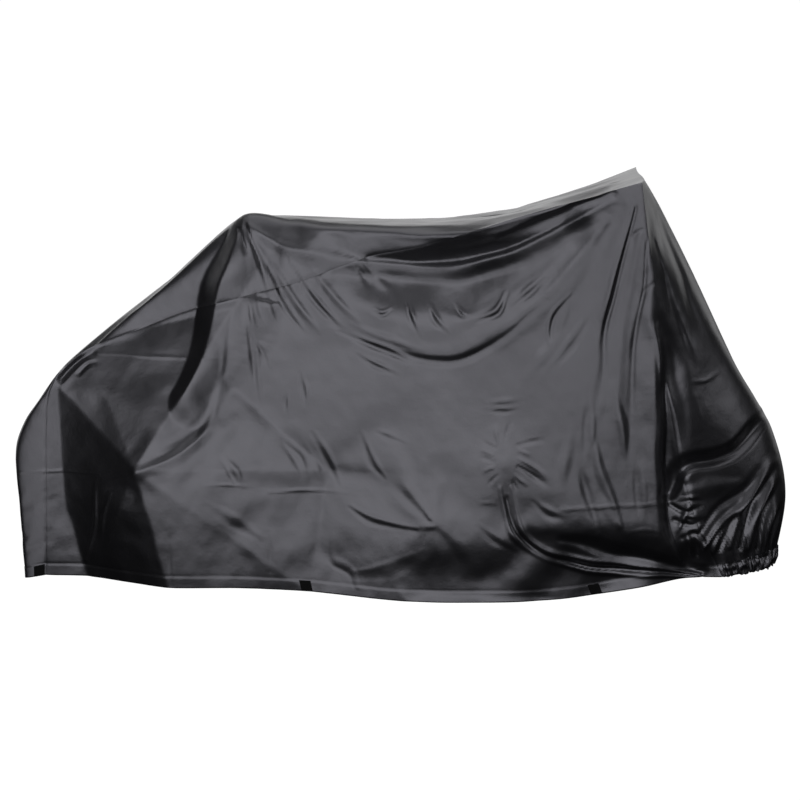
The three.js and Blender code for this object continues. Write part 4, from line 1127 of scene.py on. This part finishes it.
world = bpy.data.worlds.new("studio")
bpy.context.scene.world = world
world.use_nodes = True
nodes, links = world.node_tree.nodes, world.node_tree.links
dim, bright, seen, either = (nodes["Background"], nodes.new("ShaderNodeBackground"),
                             nodes.new("ShaderNodeLightPath"), nodes.new("ShaderNodeMixShader"))
for node, strength in ((dim, DARK_ROOM), (bright, PAPER_WHITE)):
    node.inputs["Color"].default_value = (1, 1, 1, 1)
    node.inputs["Strength"].default_value = strength
links.new(seen.outputs["Is Camera Ray"], either.inputs[0])
links.new(dim.outputs[0], either.inputs[1])
links.new(bright.outputs[0], either.inputs[2])
links.new(either.outputs[0], nodes["World Output"].inputs["Surface"])

# %% [markdown]
# Softboxes. Glossy black cloth shows them as in a dull mirror, so their places draw the picture: the key
# lights all that faces the camera, and faces turned well to the left see past its edge and go black. The
# dark gap between key and top lamp makes the band under the rim, and low panels light what faces down.


# %% Lamps for the near side
def softbox(name, place, aim, size, watts):
    """A rectangle of light at a place, turned to a point. Lengths are in metres."""
    lamp = bpy.data.lights.new(name, "AREA")
    lamp.shape = "RECTANGLE"
    lamp.size, lamp.size_y = size
    lamp.energy = watts
    box = placed(name, lamp)
    box.location = place
    box.visible_camera = False
    box.rotation_euler = (Vector(aim) - Vector(place)).to_track_quat("-Z", "Y").to_euler()
    return box


softbox("key", (-0.55, -5.6, 1.4), (0.1, 0, -0.4), (9.4, 4.4), 435)
softbox("top", (0.35, 0.3, 3.6), (0.35, 0.3, -0.4), (5.5, 5.4), 150)
softbox("floor_glow", (-0.4, -2.9, -0.93), (-0.4, -2.9, 1), (4.0, 3.2), 114)
softbox("floor_left", (-1.5, -1.1, -0.93), (-1.5, -1.1, 1), (1.8, 0.4), 3)
floor_rear = softbox("floor_rear", (-1.1, -0.6, -0.93), (-1.1, -0.6, 1), (1.0, 0.6), 4)
softbox("right", (4.8, -1.0, 0.8), (0.9, 0, -0.4), (1.6, 2.0), 24)
softbox("behind", (-0.3, 5.0, 0.9), (-0.3, 0, -0.2), (5.0, 2.6), 56)

# %% [markdown]
# The far side and the two ends have lamps of their own, so that a walk round the cover shows the same
# cloth. They shine on those pieces alone, and the near side keeps the light of the front lamps.


# %% Lamps for the far side and the ends
def shine_only_on(lamp, pieces):
    lit = bpy.data.collections.new(lamp.name + "_lit")
    for piece in pieces:
        lit.objects.link(piece)
    lamp.light_linking.receiver_collection = lit


far_pieces = [side_far] + [piece for node, piece in TABS.items() if node.endswith("far")]
far_key = softbox("far_key", (0.6, 5.6, 1.0), (0.3, 0, -0.4), (9.4, 4.0), 330)
far_glow = softbox("far_glow", (0.4, 2.7, -0.93), (0.4, 2.7, 1), (5.0, 3.6), 110)
rear_fill = softbox("rear_fill", (-4.4, 3.4, 0.6), (-0.4, 0, -0.5), (3.0, 3.0), 34)
front_fill = softbox("front_fill", (4.2, 4.4, 0.8), (0.9, 0, -0.4), (2.6, 3.0), 20)
shine_only_on(floor_rear, [middle])
shine_only_on(far_key, far_pieces)
shine_only_on(far_glow, far_pieces)
shine_only_on(rear_fill, far_pieces + [middle])
shine_only_on(front_fill, far_pieces + [middle, channel])
